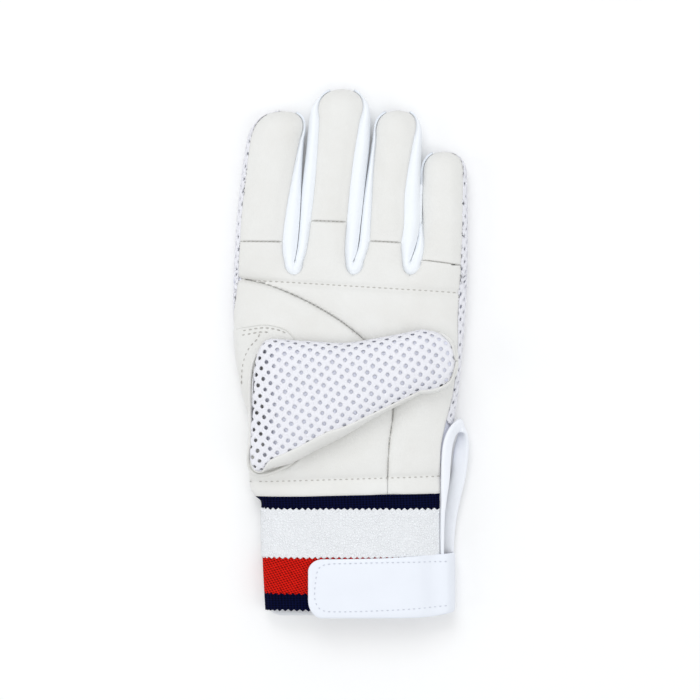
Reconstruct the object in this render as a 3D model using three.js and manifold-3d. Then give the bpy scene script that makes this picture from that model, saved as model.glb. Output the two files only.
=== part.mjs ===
// Wicketkeeping inner glove for the left hand, lying on its back with the palm up.
// Millimetres. +Z is up, +Y runs to the fingertips, -X is the thumb side.
// The origin is on the surface that the glove lies on, under the middle of its outline.
// The thumb is folded over the palm, and the wrist strap is closed.

import * as THREE from 'three';
import Module from 'manifold-3d';

const wasm = await Module();
wasm.setup();

// Clear space between neighbouring pieces and wall thicknesses
const GAP = 0.45;
const TOP_SEAM_GAP = 1.0;
const BACK_SEAM_GAP = 1.25;
const EDGE_GAP_ANGLE = 5;
const PADDED_LEATHER = 2.8;
const THIN_LEATHER = 1.2;
const SIDE_STRIP = 1.2;
const MESH_CLOTH = 1.3;
const ELASTIC = 2.4;
const WRIST_CLOTH = 1.5;
const STRAP = 1.7;

// Heights above the surface
const FINGER_HEIGHT = 15;
const SIDE_LEVEL = 6.6;
const PANEL_BASE = 1.8;
const ELASTIC_BASE = 3.7;

// How the sections are rounded: the share that is flat, and the power of the rounding
const FINGER_TOP = { flat: 0.1, power: 2.1 };
const HAND_TOP = { flat: 0.42, power: 2.1 };
const UNDERSIDE = { flat: 0.62, power: 2 };
const THUMB_TOP = { flat: 0.3, power: 2.2 };
const THUMB_UNDER = { flat: 0.45, power: 2 };
const SIDE_ROUND = 10;
const SIDE_ROUND_SHARE = 0.6;

// Angles round a side: where the upper and the lower surface take over from the side, and the
// step to the row just beyond an edge
const UPPER_ANGLE = 78;
const LOWER_ANGLE = -80;
const BEYOND_EDGE = 14;
const BEYOND_TIP = 1.5;

// The hand and the wrist: widest places and height of each section, from the wrist up.
// padLeft and padRight say how far round the side the leather ends: 90 on top, 0 at the widest
// place, -90 underneath.
const HAND = [
  { y: -120, left: -38.6, right: 43.0, height: 14.6, padLeft: -55, padRight: 62 },
  { y: -108, left: -39.3, right: 43.4, height: 14.9, padLeft: -55, padRight: 62 },
  { y: -92, left: -40.1, right: 44.0, height: 15.3, padLeft: -55, padRight: 62 },
  { y: -70, left: -40.6, right: 45.2, height: 15.8, padLeft: -55, padRight: 60 },
  { y: -67, left: -41.0, right: 45.5, height: 15.9, padLeft: -55, padRight: 60 },
  { y: -65, left: -42.8, right: 45.7, height: 16.0, padLeft: -55, padRight: 60 },
  { y: -62, left: -44.9, right: 45.9, height: 16.4, padLeft: -55, padRight: 62 },
  { y: -54, left: -45.9, right: 46.5, height: 16.9, padLeft: -55, padRight: 66 },
  { y: -42, left: -45.0, right: 47.0, height: 17.4, padLeft: -55, padRight: 66 },
  { y: -34, left: -45.0, right: 47.2, height: 17.7, padLeft: -55, padRight: 57 },
  { y: -29, left: -46.0, right: 47.4, height: 17.8, padLeft: -55, padRight: 50 },
  { y: -20, left: -48.6, right: 48.9, height: 18.0, padLeft: -55, padRight: 44 },
  { y: -5.6, left: -51.4, right: 50.4, height: 18.0, padLeft: -45, padRight: 40 },
  { y: 5.6, left: -52.6, right: 51.4, height: 18.0, padLeft: -26, padRight: 43 },
  { y: 15.2, left: -53.1, right: 52.1, height: 17.8, padLeft: 0, padRight: 49 },
  { y: 24, left: -53.5, right: 52.7, height: 17.5, padLeft: 30, padRight: 50 },
  { y: 37, left: -53.1, right: 53.2, height: 17.0, padLeft: 38, padRight: 48 },
  { y: 52, left: -52.3, right: 53.4, height: 16.5, padLeft: 38, padRight: 44 },
];

// The four fingers: the widest places of each section and the edges of the padded leather.
// round is where the rounded tip begins, tip its far end and power its roundness.
const FINGERS = [
  {
    name: 'index',
    round: 97,
    tip: { x: -30.6, y: 110 },
    power: 2.5,
    seam: { left: 50.6, right: 50.4 },
    rows: [
      { y: 41, left: -53.0, right: -25.7, padLeft: -50.8, padRight: -29.8 },
      { y: 47, left: -52.6, right: -24.5, padLeft: -50.3, padRight: -30.8 },
      { y: 60, left: -51.8, right: -23.2, padLeft: -49.7, padRight: -29.8 },
      { y: 79, left: -49.9, right: -22.3, padLeft: -47.8, padRight: -26.6 },
      { y: 97, left: -47.2, right: -21.1, padLeft: -45.5, padRight: -23.1 },
    ],
  },
  {
    name: 'middle',
    round: 106.5,
    tip: { x: -3.8, y: 120.1 },
    power: 2.2,
    seam: { left: 60.2, right: 59.2 },
    rows: [
      { y: 41, left: -25.1, right: 0.9, padLeft: -21.6, padRight: -2.1 },
      { y: 47, left: -23.9, right: 3.0, padLeft: -19.8, padRight: -2.5 },
      { y: 60, left: -22.6, right: 4.6, padLeft: -18.0, padRight: -1.6 },
      { y: 79, left: -21.6, right: 6.8, padLeft: -15.9, padRight: 0.2 },
      { y: 92.5, left: -20.2, right: 8.8, padLeft: -14.9, padRight: 2.0 },
      { y: 106.5, left: -18.9, right: 9.2, padLeft: -14.1, padRight: 4.4 },
    ],
  },
  {
    name: 'ring',
    round: 98,
    tip: { x: 21.6, y: 110.3 },
    power: 2.5,
    seam: { left: 51.0, right: 49.6 },
    rows: [
      { y: 41, left: 1.4, right: 26.6, padLeft: 5.8, padRight: 23.6 },
      { y: 49, left: 4.1, right: 29.5, padLeft: 8.4, padRight: 23.0 },
      { y: 58, left: 5.0, right: 31.4, padLeft: 9.1, padRight: 23.8 },
      { y: 70, left: 6.3, right: 32.2, padLeft: 9.8, padRight: 25.4 },
      { y: 83, left: 7.9, right: 33.6, padLeft: 10.5, padRight: 27.9 },
      { y: 98, left: 10.0, right: 34.7, padLeft: 11.8, padRight: 31.2 },
    ],
  },
  {
    name: 'little',
    round: 80,
    tip: { x: 42.5, y: 91.6 },
    power: 2.5,
    seam: { left: 42.4, right: 39.4 },
    rows: [
      { y: 41, left: 27.2, right: 53.3, padLeft: 32.0, padRight: 50.1 },
      { y: 49, left: 30.1, right: 53.4, padLeft: 33.4, padRight: 50.6 },
      { y: 58, left: 32.1, right: 53.5, padLeft: 34.0, padRight: 50.8 },
      { y: 70, left: 32.9, right: 53.3, padLeft: 34.3, padRight: 51.0 },
      { y: 80, left: 33.2, right: 53.1, padLeft: 34.6, padRight: 51.2 },
    ],
  },
];

// Where the fingers part: the web between them, and below it the U-shaped edges of the leather
// and of the back
const WEBS = [
  { name: 'index_middle', x: -25.4, y: 40.9 },
  { name: 'middle_ring', x: 1.15, y: 40.9 },
  { name: 'ring_little', x: 26.9, y: 40.9 },
];
const PAD_U = 35.6;
const PAD_U_TOP = 42.5;
const BACK_U = 37.6;
const BACK_U_TOP = 43;
const BACK_INSET = 3.5;
const BACK_INSET_SHARE = 0.55;
const BACK_LOW = -61.8;

// Sewn lines of the palm, as heights at the thumb side and at the little-finger side
const HEM = { left: -65.6, right: -63.9 };
const LOWER_STITCH = { left: -58.4, right: -55.4 };
const KNUCKLE_STITCH = { left: 33.4, right: 27.3 };
const STITCH_DEPTH = 0.9;
const STITCH_WIDTH = 2.2;

// The closed seam round the ball of the thumb, from the index side to the lower stitching
const THENAR_SEAM = [
  { x: -62, y: 35.2 },
  { x: -46.6, y: 33.4 },
  { x: -35.3, y: 30.3 },
  { x: -18.4, y: 22.8 },
  { x: -2.5, y: 13.1 },
  { x: 9.5, y: 2.5 },
  { x: 17.0, y: -10 },
  { x: 19.2, y: -24.9 },
  { x: 17.4, y: -42 },
  { x: 16.8, y: -72 },
];

// How the open mesh dips round the thumb's root, and how low it stays beside the wrist slit
const MESH_DIP = { angle: 7, y: 14, reach: 12 };
const MESH_AT_SLIT = { angle: -58, low: -31, high: -24 };

// The hole under the thumb's root, through which the thumb goes into its sleeve
const THUMB_HOLE = { left: -38.5, right: -21.5, low: -42, high: -8 };

// The thumb, folded over the palm: its edges and the depth of its sleeve at each section.
// trim is how far the lower edge of the open cloth stays inside the outline.
const THUMB = [
  { x: -45.2, upper: -9.0, lower: -48.0, depth: 5.5, trim: 1.2 },
  { x: -44.2, upper: -1.5, lower: -51.6, depth: 8.0, trim: 1.5 },
  { x: -41.5, upper: 4.2, lower: -53.2, depth: 10.0, trim: 2.0 },
  { x: -36.5, upper: 6.4, lower: -51.4, depth: 11.6, trim: 2.6 },
  { x: -27, upper: 5.9, lower: -48.8, depth: 12.2, trim: 4.4 },
  { x: -13.9, upper: 5.1, lower: -42.2, depth: 12.4, trim: 5.0 },
  { x: -2.5, upper: 4.6, lower: -36.3, depth: 12.4, trim: 3.0 },
  { x: 8.9, upper: 6.2, lower: -29.5, depth: 12.2, trim: 1.6 },
  { x: 22.5, upper: 8.7, lower: -22.2, depth: 12.0, trim: 0.9 },
  { x: 31.6, upper: 10.6, lower: -17.7, depth: 11.6, trim: 0.8 },
];
const THUMB_TIP = { x: 48.6, y: -3.4, power: 2.3 };
const THUMB_CLEAR = 0.7;
const THUMB_SIDE_LEVEL = 4.4;
const THUMB_ROUND = { radius: 9, share: 0.9 };
const THUMB_REST = { left: -41, right: 38, low: -46, high: 2 };
const THUMB_FOLD_ANGLE = -38;
const WELT_RADIUS = 0.75;
const WELT_HEIGHTS = [-48, -40, -30, -20, -12, -6];

// The leather patch that covers the thumb's root, and its upper edge
const PATCH_EDGE = [
  { x: -53, y: 10.8 },
  { x: -46, y: 11.9 },
  { x: -39.4, y: 12.8 },
  { x: -33, y: 11.9 },
  { x: -28.6, y: 10.0 },
  { x: -25.5, y: 6.6 },
];
const PATCH_LIFT = 0.35;
const PATCH_LOW = -50;
const PATCH_REACH = 2.6;
const PATCH_BAND_LOW = 3.2;

// The tape round the slit at the wrist: middle line, width and turn of its face, from the
// palm side up to the end of the slit and down the back. A turn of 0 faces up, 90 faces +X.
const SLIT_TAPE = [
  { x: 42.1, y: -89, z: 12.9, width: 2.6, turn: 20 },
  { x: 42.5, y: -75, z: 13.6, width: 3.0, turn: 20 },
  { x: 43.5, y: -64, z: 13.7, width: 3.6, turn: 24 },
  { x: 44.3, y: -54, z: 13.6, width: 5.0, turn: 28 },
  { x: 45.6, y: -44, z: 13.2, width: 6.4, turn: 34 },
  { x: 48.4, y: -36, z: 12.2, width: 7.2, turn: 50 },
  { x: 50.9, y: -32.8, z: 9.4, width: 6.6, turn: 80 },
  { x: 52.0, y: -33.6, z: 6.2, width: 5.6, turn: 105 },
  { x: 51.7, y: -38, z: 3.2, width: 5.6, turn: 150 },
  { x: 50.3, y: -46, z: 1.8, width: 6.0, turn: 175 },
  { x: 48.9, y: -56, z: 1.6, width: 6.2, turn: 180 },
  { x: 47.2, y: -68, z: 1.6, width: 6.0, turn: 180 },
  { x: 45.4, y: -80, z: 1.6, width: 5.8, turn: 180 },
  { x: 44.7, y: -88.8, z: 1.6, width: 5.6, turn: 180 },
];
const TAPE_THICKNESS = 2.2;

// The wrist: the elastic band on the palm side and the plain cloth panel on the back
const ELASTIC_LOW = -116.4;
const ELASTIC_RIGHT = 40.4;
const HEM_GAP = 1.1;
const TERRY = { high: -70.5, low: -92.6, extra: 0.5, step: 0.2, slope: 0.8 };
const WRIST_PANEL = { left: -36.6, low: -118.9, high: -62.6, corner: 4 };
const WRIST_PANEL_SLIT = [
  { x: 40.5, y: -118.9 },
  { x: 40.8, y: -88 },
  { x: 43.4, y: -62.6 },
];

// The strap: it starts on the back, goes round the slit side and closes over the elastic
const STRAP_TAIL_X = 6;
const STRAP_FOLD_X = 47.6;
const STRAP_END_X = -19.2;
const STRAP_END_RADIUS = 6.5;
const STRAP_RISE = 0.45;
const STRAP_BEND = 4.5;
const STRAP_MIDDLE = -105;
const STRAP_LEVEL_X = 40;
const STRAP_EDGES = [
  { x: -20, upper: -93.6, lower: -120.0 },
  { x: 13.4, upper: -93.4, lower: -120.0 },
  { x: 36, upper: -91.2, lower: -119.0 },
  { x: 47, upper: -90.0, lower: -115.9 },
];

const COLOURS = {
  leather: 0xecece6,
  sideStrip: 0xeff3fa,
  openMesh: 0xe9e9f6,
  elastic: 0xe8ebf7,
  panel: 0xf0f2f6,
  tape: 0xf0f4fb,
  strap: 0xeef1f8,
};

const lerp = (a, b, share) => a + (b - a) * share;
const radians = (degrees) => (degrees * Math.PI) / 180;
const clamp = (value, low, high) => Math.min(high, Math.max(low, value));

function smoothstep(low, high, value) {
  const share = clamp((value - low) / (high - low), 0, 1);
  return share * share * (3 - 2 * share);
}

// A smooth curve through one column of a table, held at its ends
function follow(rows, by, column) {
  const slope = (i) => {
    const low = rows[Math.max(0, i - 1)];
    const high = rows[Math.min(rows.length - 1, i + 1)];
    return (high[column] - low[column]) / (high[by] - low[by]);
  };
  return (place) => {
    const at = clamp(place, rows[0][by], rows[rows.length - 1][by]);
    let i = 0;
    while (i < rows.length - 2 && rows[i + 1][by] < at) i += 1;
    const span = rows[i + 1][by] - rows[i][by];
    const t = (at - rows[i][by]) / span;
    const square = t * t;
    const cube = square * t;
    return (2 * cube - 3 * square + 1) * rows[i][column]
      + (cube - 2 * square + t) * span * slope(i)
      + (3 * square - 2 * cube) * rows[i + 1][column]
      + (cube - square) * span * slope(i + 1);
  };
}

// The height share of a rounded section: 1 over its flat middle, 0 at its widest place
function rounded(share, { flat, power }) {
  const side = clamp((Math.abs(share) - flat) / (1 - flat), 0, 1);
  return (1 - side ** power) ** (1 / power);
}

const hand = {
  left: follow(HAND, 'y', 'left'),
  right: follow(HAND, 'y', 'right'),
  height: follow(HAND, 'y', 'height'),
  padLeft: follow(HAND, 'y', 'padLeft'),
  padRight: follow(HAND, 'y', 'padRight'),
};

// One finger's outline in plan, with its rounded tip, and the edges of its padded leather
function makeFinger(finger) {
  const { rows, round, tip, power } = finger;
  const column = (name) => follow(rows, 'y', name);
  const [left, right, padLeft, padRight] = ['left', 'right', 'padLeft', 'padRight'].map(column);
  const tipShare = (y) => clamp((y - round) / (tip.y - round), 0, 1);
  const narrowing = (y) => (1 - tipShare(y) ** power) ** (1 / power);
  const centre = (y) => lerp((left(y) + right(y)) / 2, tip.x, tipShare(y));
  const half = (y) => ((right(y) - left(y)) / 2) * narrowing(y);
  const inset = (y, straight) => {
    const share = tipShare(y);
    return Math.min(0.55 * half(y), lerp(straight, 0.6, share));
  };
  return {
    ...finger,
    centre,
    half,
    left: (y) => centre(y) - half(y),
    right: (y) => centre(y) + half(y),
    padLeft: (y) => centre(y) - half(y) + inset(y, padLeft(y) - left(y)),
    padRight: (y) => centre(y) + half(y) - inset(y, right(y) - padRight(y)),
    depth: (y) => Math.sqrt(Math.max(0, 1 - tipShare(y) ** 2)),
    seamAt: (x) => lerp(finger.seam.left, finger.seam.right, (x - left(50)) / (right(50) - left(50))),
  };
}

const fingers = FINGERS.map(makeFinger);

function fingerAt(x) {
  const k = WEBS.findIndex((web) => x < web.x);
  return k < 0 ? fingers[fingers.length - 1] : fingers[k];
}

const fingerShare = (y) => smoothstep(16, 50, y);
const acrossPalm = (line, x) => lerp(line.left, line.right, (x + 50) / 100);
const groove = (distance) => STITCH_DEPTH * Math.exp(-((distance / STITCH_WIDTH) ** 2));

// How far the sewn lines draw the padded leather in
function stitched(x, y) {
  return groove(y - acrossPalm(KNUCKLE_STITCH, x)) + groove(y - acrossPalm(LOWER_STITCH, x));
}

// The widest share of a place between two sides
const between = (x, low, high) => (2 * x - low - high) / (high - low);

// The height of the upper surface: one low dome over the hand, one over each finger
function topHeight(x, y, finger = fingerAt(x)) {
  const across = between(x, hand.left(y), hand.right(y));
  const palm = lerp(SIDE_LEVEL, hand.height(y), rounded(across, HAND_TOP));
  const share = (x - finger.centre(y)) / Math.max(0.1, finger.half(y));
  const top = lerp(SIDE_LEVEL, FINGER_HEIGHT, finger.depth(y));
  const dome = lerp(SIDE_LEVEL, top, rounded(share, FINGER_TOP));
  return lerp(palm, dome, fingerShare(y)) - stitched(x, y);
}

// The height of the underside: flat on the surface, curving up to the widest places
function lowHeight(x, y, finger = fingerAt(x)) {
  const palm = SIDE_LEVEL * (1 - rounded(between(x, hand.left(y), hand.right(y)), UNDERSIDE));
  const share = (x - finger.centre(y)) / Math.max(0.1, finger.half(y));
  const low = SIDE_LEVEL * (1 - rounded(share, UNDERSIDE) * finger.depth(y));
  return lerp(palm, low, fingerShare(y));
}

const onTop = (x, y, finger) => new THREE.Vector3(x, y, topHeight(x, y, finger));
const underneath = (x, y, finger) => new THREE.Vector3(x, y, lowHeight(x, y, finger));

// How far round the glove's outer side the padded leather ends, as an angle
function leatherEdge(side, y) {
  const palm = side < 0 ? hand.padLeft(y) : hand.padRight(y);
  const finger = side < 0 ? fingers[0] : fingers[fingers.length - 1];
  const inset = side < 0 ? finger.padLeft(y) - finger.left(y) : finger.right(y) - finger.padRight(y);
  const round = Math.min(SIDE_ROUND, 1.2 * finger.half(y));
  const own = (Math.acos(clamp(1 - inset / round, 0, 1)) * 180) / Math.PI;
  return lerp(palm, own, smoothstep(30, 39, y));
}

// A place on the glove's outer side, by its angle round that side
function onSide(side, y, angle) {
  const finger = side < 0 ? fingers[0] : fingers[fingers.length - 1];
  const left = y > PAD_U ? finger.left(y) : hand.left(y);
  const right = y > PAD_U ? finger.right(y) : hand.right(y);
  const round = Math.min(SIDE_ROUND, SIDE_ROUND_SHARE * (right - left));
  const inset = round * (1 - Math.cos(radians(angle)));
  const x = side < 0 ? left + inset : right - inset;
  return angle >= 0 ? onTop(x, y, finger) : underneath(x, y, finger);
}

// An open surface made of grids of points, turned into a closed wall of even thickness.
// Cells that aren't kept only help to find which way the surface faces at its edges.
class Sheet {
  constructor() {
    this.points = [];
    this.names = new Map();
    this.cells = [];
  }

  vertex(point) {
    const name = point.toArray().map((value) => Math.round(value * 500)).join();
    if (!this.names.has(name)) {
      this.names.set(name, this.points.length);
      this.points.push(point.clone());
    }
    return this.names.get(name);
  }

  triangle(corners, kept) {
    if (new Set(corners).size === 3) this.cells.push({ corners, kept });
  }

  grid(rows, keep = () => true) {
    const numbers = rows.map((row) => row.map((point) => this.vertex(point)));
    for (let i = 0; i < rows.length - 1; i += 1) {
      for (let j = 0; j < rows[i].length - 1; j += 1) {
        const [a, b, c, d] = [numbers[i][j], numbers[i][j + 1], numbers[i + 1][j + 1], numbers[i + 1][j]];
        const middle = rows[i][j].clone().add(rows[i + 1][j + 1]).multiplyScalar(0.5);
        const kept = keep(i, j, middle);
        this.triangle([a, b, c], kept);
        this.triangle([a, c, d], kept);
      }
    }
    return this;
  }

  normals() {
    const normals = this.points.map(() => new THREE.Vector3());
    for (const { corners } of this.cells) {
      const [a, b, c] = corners.map((number) => this.points[number]);
      const face = b.clone().sub(a).cross(c.clone().sub(a));
      for (const number of corners) normals[number].add(face);
    }
    return normals.map((normal) => normal.normalize());
  }

  solid(thickness) {
    const depth = typeof thickness === 'function' ? thickness : () => thickness;
    const normals = this.normals();
    const inner = this.points.map((point, i) => (
      point.clone().addScaledVector(normals[i], -depth(point))
    ));
    const kept = this.cells.filter((cell) => cell.kept).map((cell) => cell.corners);
    const edges = new Set();
    for (const [a, b, c] of kept) {
      edges.add(`${a}_${b}`);
      edges.add(`${b}_${c}`);
      edges.add(`${c}_${a}`);
    }
    const places = [];
    const add = (...corners) => corners.forEach((corner) => places.push(...corner.toArray()));
    for (const [a, b, c] of kept) {
      add(this.points[a], this.points[b], this.points[c]);
      add(inner[a], inner[c], inner[b]);
    }
    for (const edge of edges) {
      const [a, b] = edge.split('_').map(Number);
      if (edges.has(`${b}_${a}`)) continue;
      add(this.points[b], this.points[a], inner[a]);
      add(this.points[b], inner[a], inner[b]);
    }
    const geometry = new THREE.BufferGeometry();
    geometry.setAttribute('position', new THREE.Float32BufferAttribute(places, 3));
    return geometry;
  }
}

// Evenly stepped shares from 0 to 1, and shares that crowd towards both ends
const steps = (count) => Array.from({ length: count + 1 }, (_, i) => i / count);
const crowded = (count) => steps(count).map((t) => lerp(t, (1 - Math.cos(Math.PI * t)) / 2, 0.6));

// Rows of a rounded fingertip, from where it begins to just short of its end
const TIP_ANGLES = [28, 54, 73, 85];
const tipRows = (finger) => TIP_ANGLES.map((angle) => (
  lerp(finger.round, finger.tip.y, Math.sin(radians(angle)))
));

// Padded leather on the front of one finger, from its seam to the fingertip
function fingerFront(finger) {
  const straight = [-0.08, 0, 0.3, 0.65, 1];
  const across = [-0.12, ...crowded(6), 1.12];
  const place = (share, y) => lerp(finger.padLeft(y), finger.padRight(y), share);
  const rows = straight.map((along) => across.map((share) => {
    const start = finger.seamAt(place(share, finger.seam.left)) + GAP / 2;
    const y = lerp(start, finger.round, along);
    return onTop(place(share, y), y, finger);
  }));
  for (const y of tipRows(finger)) {
    rows.push(across.map((share) => onTop(place(share, y), y, finger)));
  }
  const last = tipRows(finger).at(-1) + 0.15;
  rows.push(across.map((share) => new THREE.Vector3(place(share, last), last, SIDE_LEVEL + GAP / 2)));
  rows.push(across.map((share) => (
    new THREE.Vector3(place(share, last), last - BEYOND_TIP, SIDE_LEVEL - 4)
  )));
  const keep = (i, j) => i > 0 && i < rows.length - 2 && j > 0 && j < across.length - 2;
  return new Sheet().grid(rows, keep).solid((point) => lerp(
    PADDED_LEATHER,
    THIN_LEATHER,
    smoothstep(finger.round, finger.tip.y, point.y),
  ));
}

// Rows of the palm below the fingers, each a slanting line across the hand
const PALM_ROWS = [
  { left: -66.6, right: -64.9 },
  HEM,
  { left: -62, right: -59.5 },
  LOWER_STITCH,
  { left: -54.6, right: -51.6 },
  { left: -42, right: -40 },
  { left: -32, right: -31 },
  { left: -20, right: -20 },
  { left: -8, right: -8 },
  { left: 4, right: 4 },
  { left: 17, right: 13 },
  { left: 29.6, right: 23.8 },
  KNUCKLE_STITCH,
  { left: PAD_U, right: PAD_U },
];

// One row of the palm between two edges, either a web's side or the glove's own side
function palmPart(rowAt, from, to, finger) {
  const sideAngles = (edge) => [0, 0.28, 0.55, 0.8].map((share) => lerp(edge, UPPER_ANGLE, share));
  const points = [];
  if (from.side) {
    const edge = leatherEdge(-1, rowAt(from.x));
    points.push(onSide(-1, rowAt(from.x), edge - BEYOND_EDGE));
    for (const angle of sideAngles(edge)) points.push(onSide(-1, rowAt(from.x), angle));
  }
  const low = from.side ? onSide(-1, rowAt(from.x), UPPER_ANGLE).x : from.x;
  const high = to.side ? onSide(1, rowAt(to.x), UPPER_ANGLE).x : to.x;
  for (const share of steps(4)) {
    const x = lerp(low, high, share);
    points.push(onTop(x, rowAt(x), finger));
  }
  if (to.side) {
    const edge = leatherEdge(1, rowAt(to.x));
    for (const angle of sideAngles(edge).reverse()) {
      points.push(onSide(1, rowAt(to.x), angle));
    }
    points.push(onSide(1, rowAt(to.x), edge - BEYOND_EDGE));
  }
  return points;
}

// The U-shaped edge of the leather below a web, by height: from the U's lowest place to the
// finger's own leather edge
function padEdge(k, side, y) {
  const web = side < 0 ? WEBS[k - 1] : WEBS[k];
  if (!web) return { side: true, x: side * 50 };
  const height = Math.max(y, fingers[k].rows[0].y);
  const own = side < 0 ? fingers[k].padLeft(height) : fingers[k].padRight(height);
  const open = Math.sqrt(clamp((y - PAD_U) / (PAD_U_TOP - PAD_U), 0, 1));
  return { side: false, x: lerp(web.x, own, open) };
}

// The palm's leather in one sheet, with a tongue into the root of each finger
function palmLeather() {
  const sheet = new Sheet();
  const inHole = (middle) => (
    middle.x > THUMB_HOLE.left && middle.x < THUMB_HOLE.right
    && middle.y > THUMB_HOLE.low && middle.y < THUMB_HOLE.high
  );
  fingers.forEach((finger, k) => {
    const edges = [padEdge(k, -1, PAD_U), padEdge(k, 1, PAD_U)];
    const rows = PALM_ROWS.map((line) => (
      palmPart((x) => acrossPalm(line, x), edges[0], edges[1], finger)
    ));
    const tongue = [0.12, 0.36, 0.66, 1, 1.1].map((share) => {
      const rowAt = (x) => lerp(PAD_U, finger.seamAt(x) - GAP / 2, share);
      const y = rowAt(finger.centre(45));
      return palmPart(rowAt, padEdge(k, -1, y), padEdge(k, 1, y), finger);
    });
    const all = [...rows, ...tongue];
    const first = edges[0].side ? 1 : 0;
    const last = all[0].length - 2 - (edges[1].side ? 1 : 0);
    sheet.grid(all, (i, j, middle) => (
      i > 0 && i < all.length - 2 && j >= first && j <= last && !inHole(middle)
    ));
  });
  return sheet.solid((point) => (point.x < hand.left(point.y) + 6 ? 2 : PADDED_LEATHER));
}

// Joins and cuts of closed meshes
function toManifold(geometry) {
  const position = geometry.getAttribute('position');
  const names = new Map();
  const vertices = [];
  const triangles = [];
  for (let i = 0; i < position.count; i += 1) {
    const place = [position.getX(i), position.getY(i), position.getZ(i)];
    const name = place.map((value) => Math.round(value * 1e4)).join();
    if (!names.has(name)) {
      names.set(name, vertices.length / 3);
      vertices.push(...place);
    }
    triangles.push(names.get(name));
  }
  return new wasm.Manifold(new wasm.Mesh({
    numProp: 3,
    vertProperties: new Float32Array(vertices),
    triVerts: new Uint32Array(triangles),
  }));
}

function fromManifold(manifold) {
  const mesh = manifold.getMesh();
  const geometry = new THREE.BufferGeometry();
  geometry.setAttribute('position', new THREE.Float32BufferAttribute(mesh.vertProperties, 3));
  geometry.setIndex(new THREE.Uint32BufferAttribute(mesh.triVerts, 1));
  return geometry;
}

// The block over the ball of the thumb, moved out by a distance from its seam
function thenarBlock(distance) {
  const line = new THREE.SplineCurve(THENAR_SEAM.map((row) => new THREE.Vector2(row.x, row.y)));
  const outline = line.getPoints(26).map((point, i) => {
    const along = line.getTangent(i / 26);
    return new THREE.Vector2(point.x - along.y * distance, point.y + along.x * distance);
  });
  outline.push(new THREE.Vector2(-62, -72));
  const block = new THREE.ExtrudeGeometry(new THREE.Shape(outline), { depth: 30, bevelEnabled: false });
  block.translate(0, 0, -5);
  return block;
}

const leather = toManifold(palmLeather());
const thenarPanel = fromManifold(leather.intersect(toManifold(thenarBlock(-GAP / 2))));
const palmPanel = fromManifold(leather.subtract(toManifold(thenarBlock(GAP / 2))));

// The leather patch over the thumb's root: a band above the hole and one beside it
function thumbPatch() {
  const edge = follow(PATCH_EDGE, 'x', 'y');
  const columns = [-30, -14, 2, 24, 46, 68, 78];
  const raised = (point) => point.add(new THREE.Vector3(0, 0, PATCH_LIFT + THIN_LEATHER));
  const rows = [-0.1, 0, 0.14, 0.3, 0.46, 0.62, 0.76, 0.84, 0.92, 1, 1.05].map((share) => {
    const points = columns.map((angle) => {
      const x = onSide(-1, lerp(PATCH_LOW, 8, share), angle).x;
      const point = onSide(-1, lerp(PATCH_LOW, edge(x), share), angle);
      const lift = new THREE.Vector3(-Math.cos(radians(angle)), 0, Math.sin(radians(angle)));
      return point.addScaledVector(lift.normalize(), PATCH_LIFT + THIN_LEATHER);
    });
    const start = points.at(-1).x;
    for (const across of [0.4, 0.75, 1, 1.1]) {
      const x = lerp(start, PATCH_EDGE.at(-1).x, across);
      const y = lerp(PATCH_LOW, edge(x), share);
      points.push(raised(onTop(x, y)));
    }
    return points;
  });
  const underThumb = (middle) => (
    middle.x > hand.left(middle.y) + PATCH_REACH && middle.y < PATCH_BAND_LOW
  );
  return new Sheet().grid(rows, (i, j, middle) => (
    i > 0 && i < rows.length - 2 && j > 0 && j < rows[0].length - 2 && !underThumb(middle)
  )).solid(THIN_LEATHER);
}

// The strip between two fingers: down one finger's side, round the web and up the other
function sideStrip(k) {
  const web = WEBS[k];
  const upper = [-0.2, 0, 0.4, 0.78, 1];
  const lower = [1, 0.78, 0.4, 0, -0.25];
  const fingerRow = (finger, side, y) => {
    const wide = side > 0 ? finger.right(y) : finger.left(y);
    const room = finger.half(y);
    const pad = side > 0 ? finger.padRight(y) : finger.padLeft(y);
    const back = wide - side * Math.min(BACK_INSET, BACK_INSET_SHARE * room);
    const padPlace = y < PAD_U_TOP ? padEdge(fingers.indexOf(finger), side, y).x : pad;
    const seam = padPlace + side * TOP_SEAM_GAP;
    return [
      ...upper.map((share) => onTop(lerp(seam, wide, share), y, finger)),
      ...lower.map((share) => underneath(lerp(back + side * BACK_SEAM_GAP, wide, share), y, finger)),
    ];
  };
  const webRow = [
    ...upper.map((share) => {
      const y = lerp(PAD_U + TOP_SEAM_GAP, web.y, share);
      return onTop(web.x, y, fingers[k]);
    }),
    ...lower.map((share) => {
      const y = lerp(BACK_U + BACK_SEAM_GAP, web.y, share);
      return underneath(web.x, y, fingers[k]);
    }),
  ];
  const heights = (finger) => [
    ...[41.8, 44.5, 50, 60, 74, 90].filter((y) => y < finger.round - 5),
    finger.round,
    ...tipRows(finger).slice(0, -1),
  ];
  const rows = [
    ...heights(fingers[k]).reverse().map((y) => fingerRow(fingers[k], 1, y)),
    webRow,
    ...heights(fingers[k + 1]).map((y) => fingerRow(fingers[k + 1], -1, y)),
  ];
  const last = rows[0].length - 2;
  return new Sheet().grid(rows.reverse(), (i, j) => j > 0 && j < last).solid(SIDE_STRIP);
}

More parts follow.
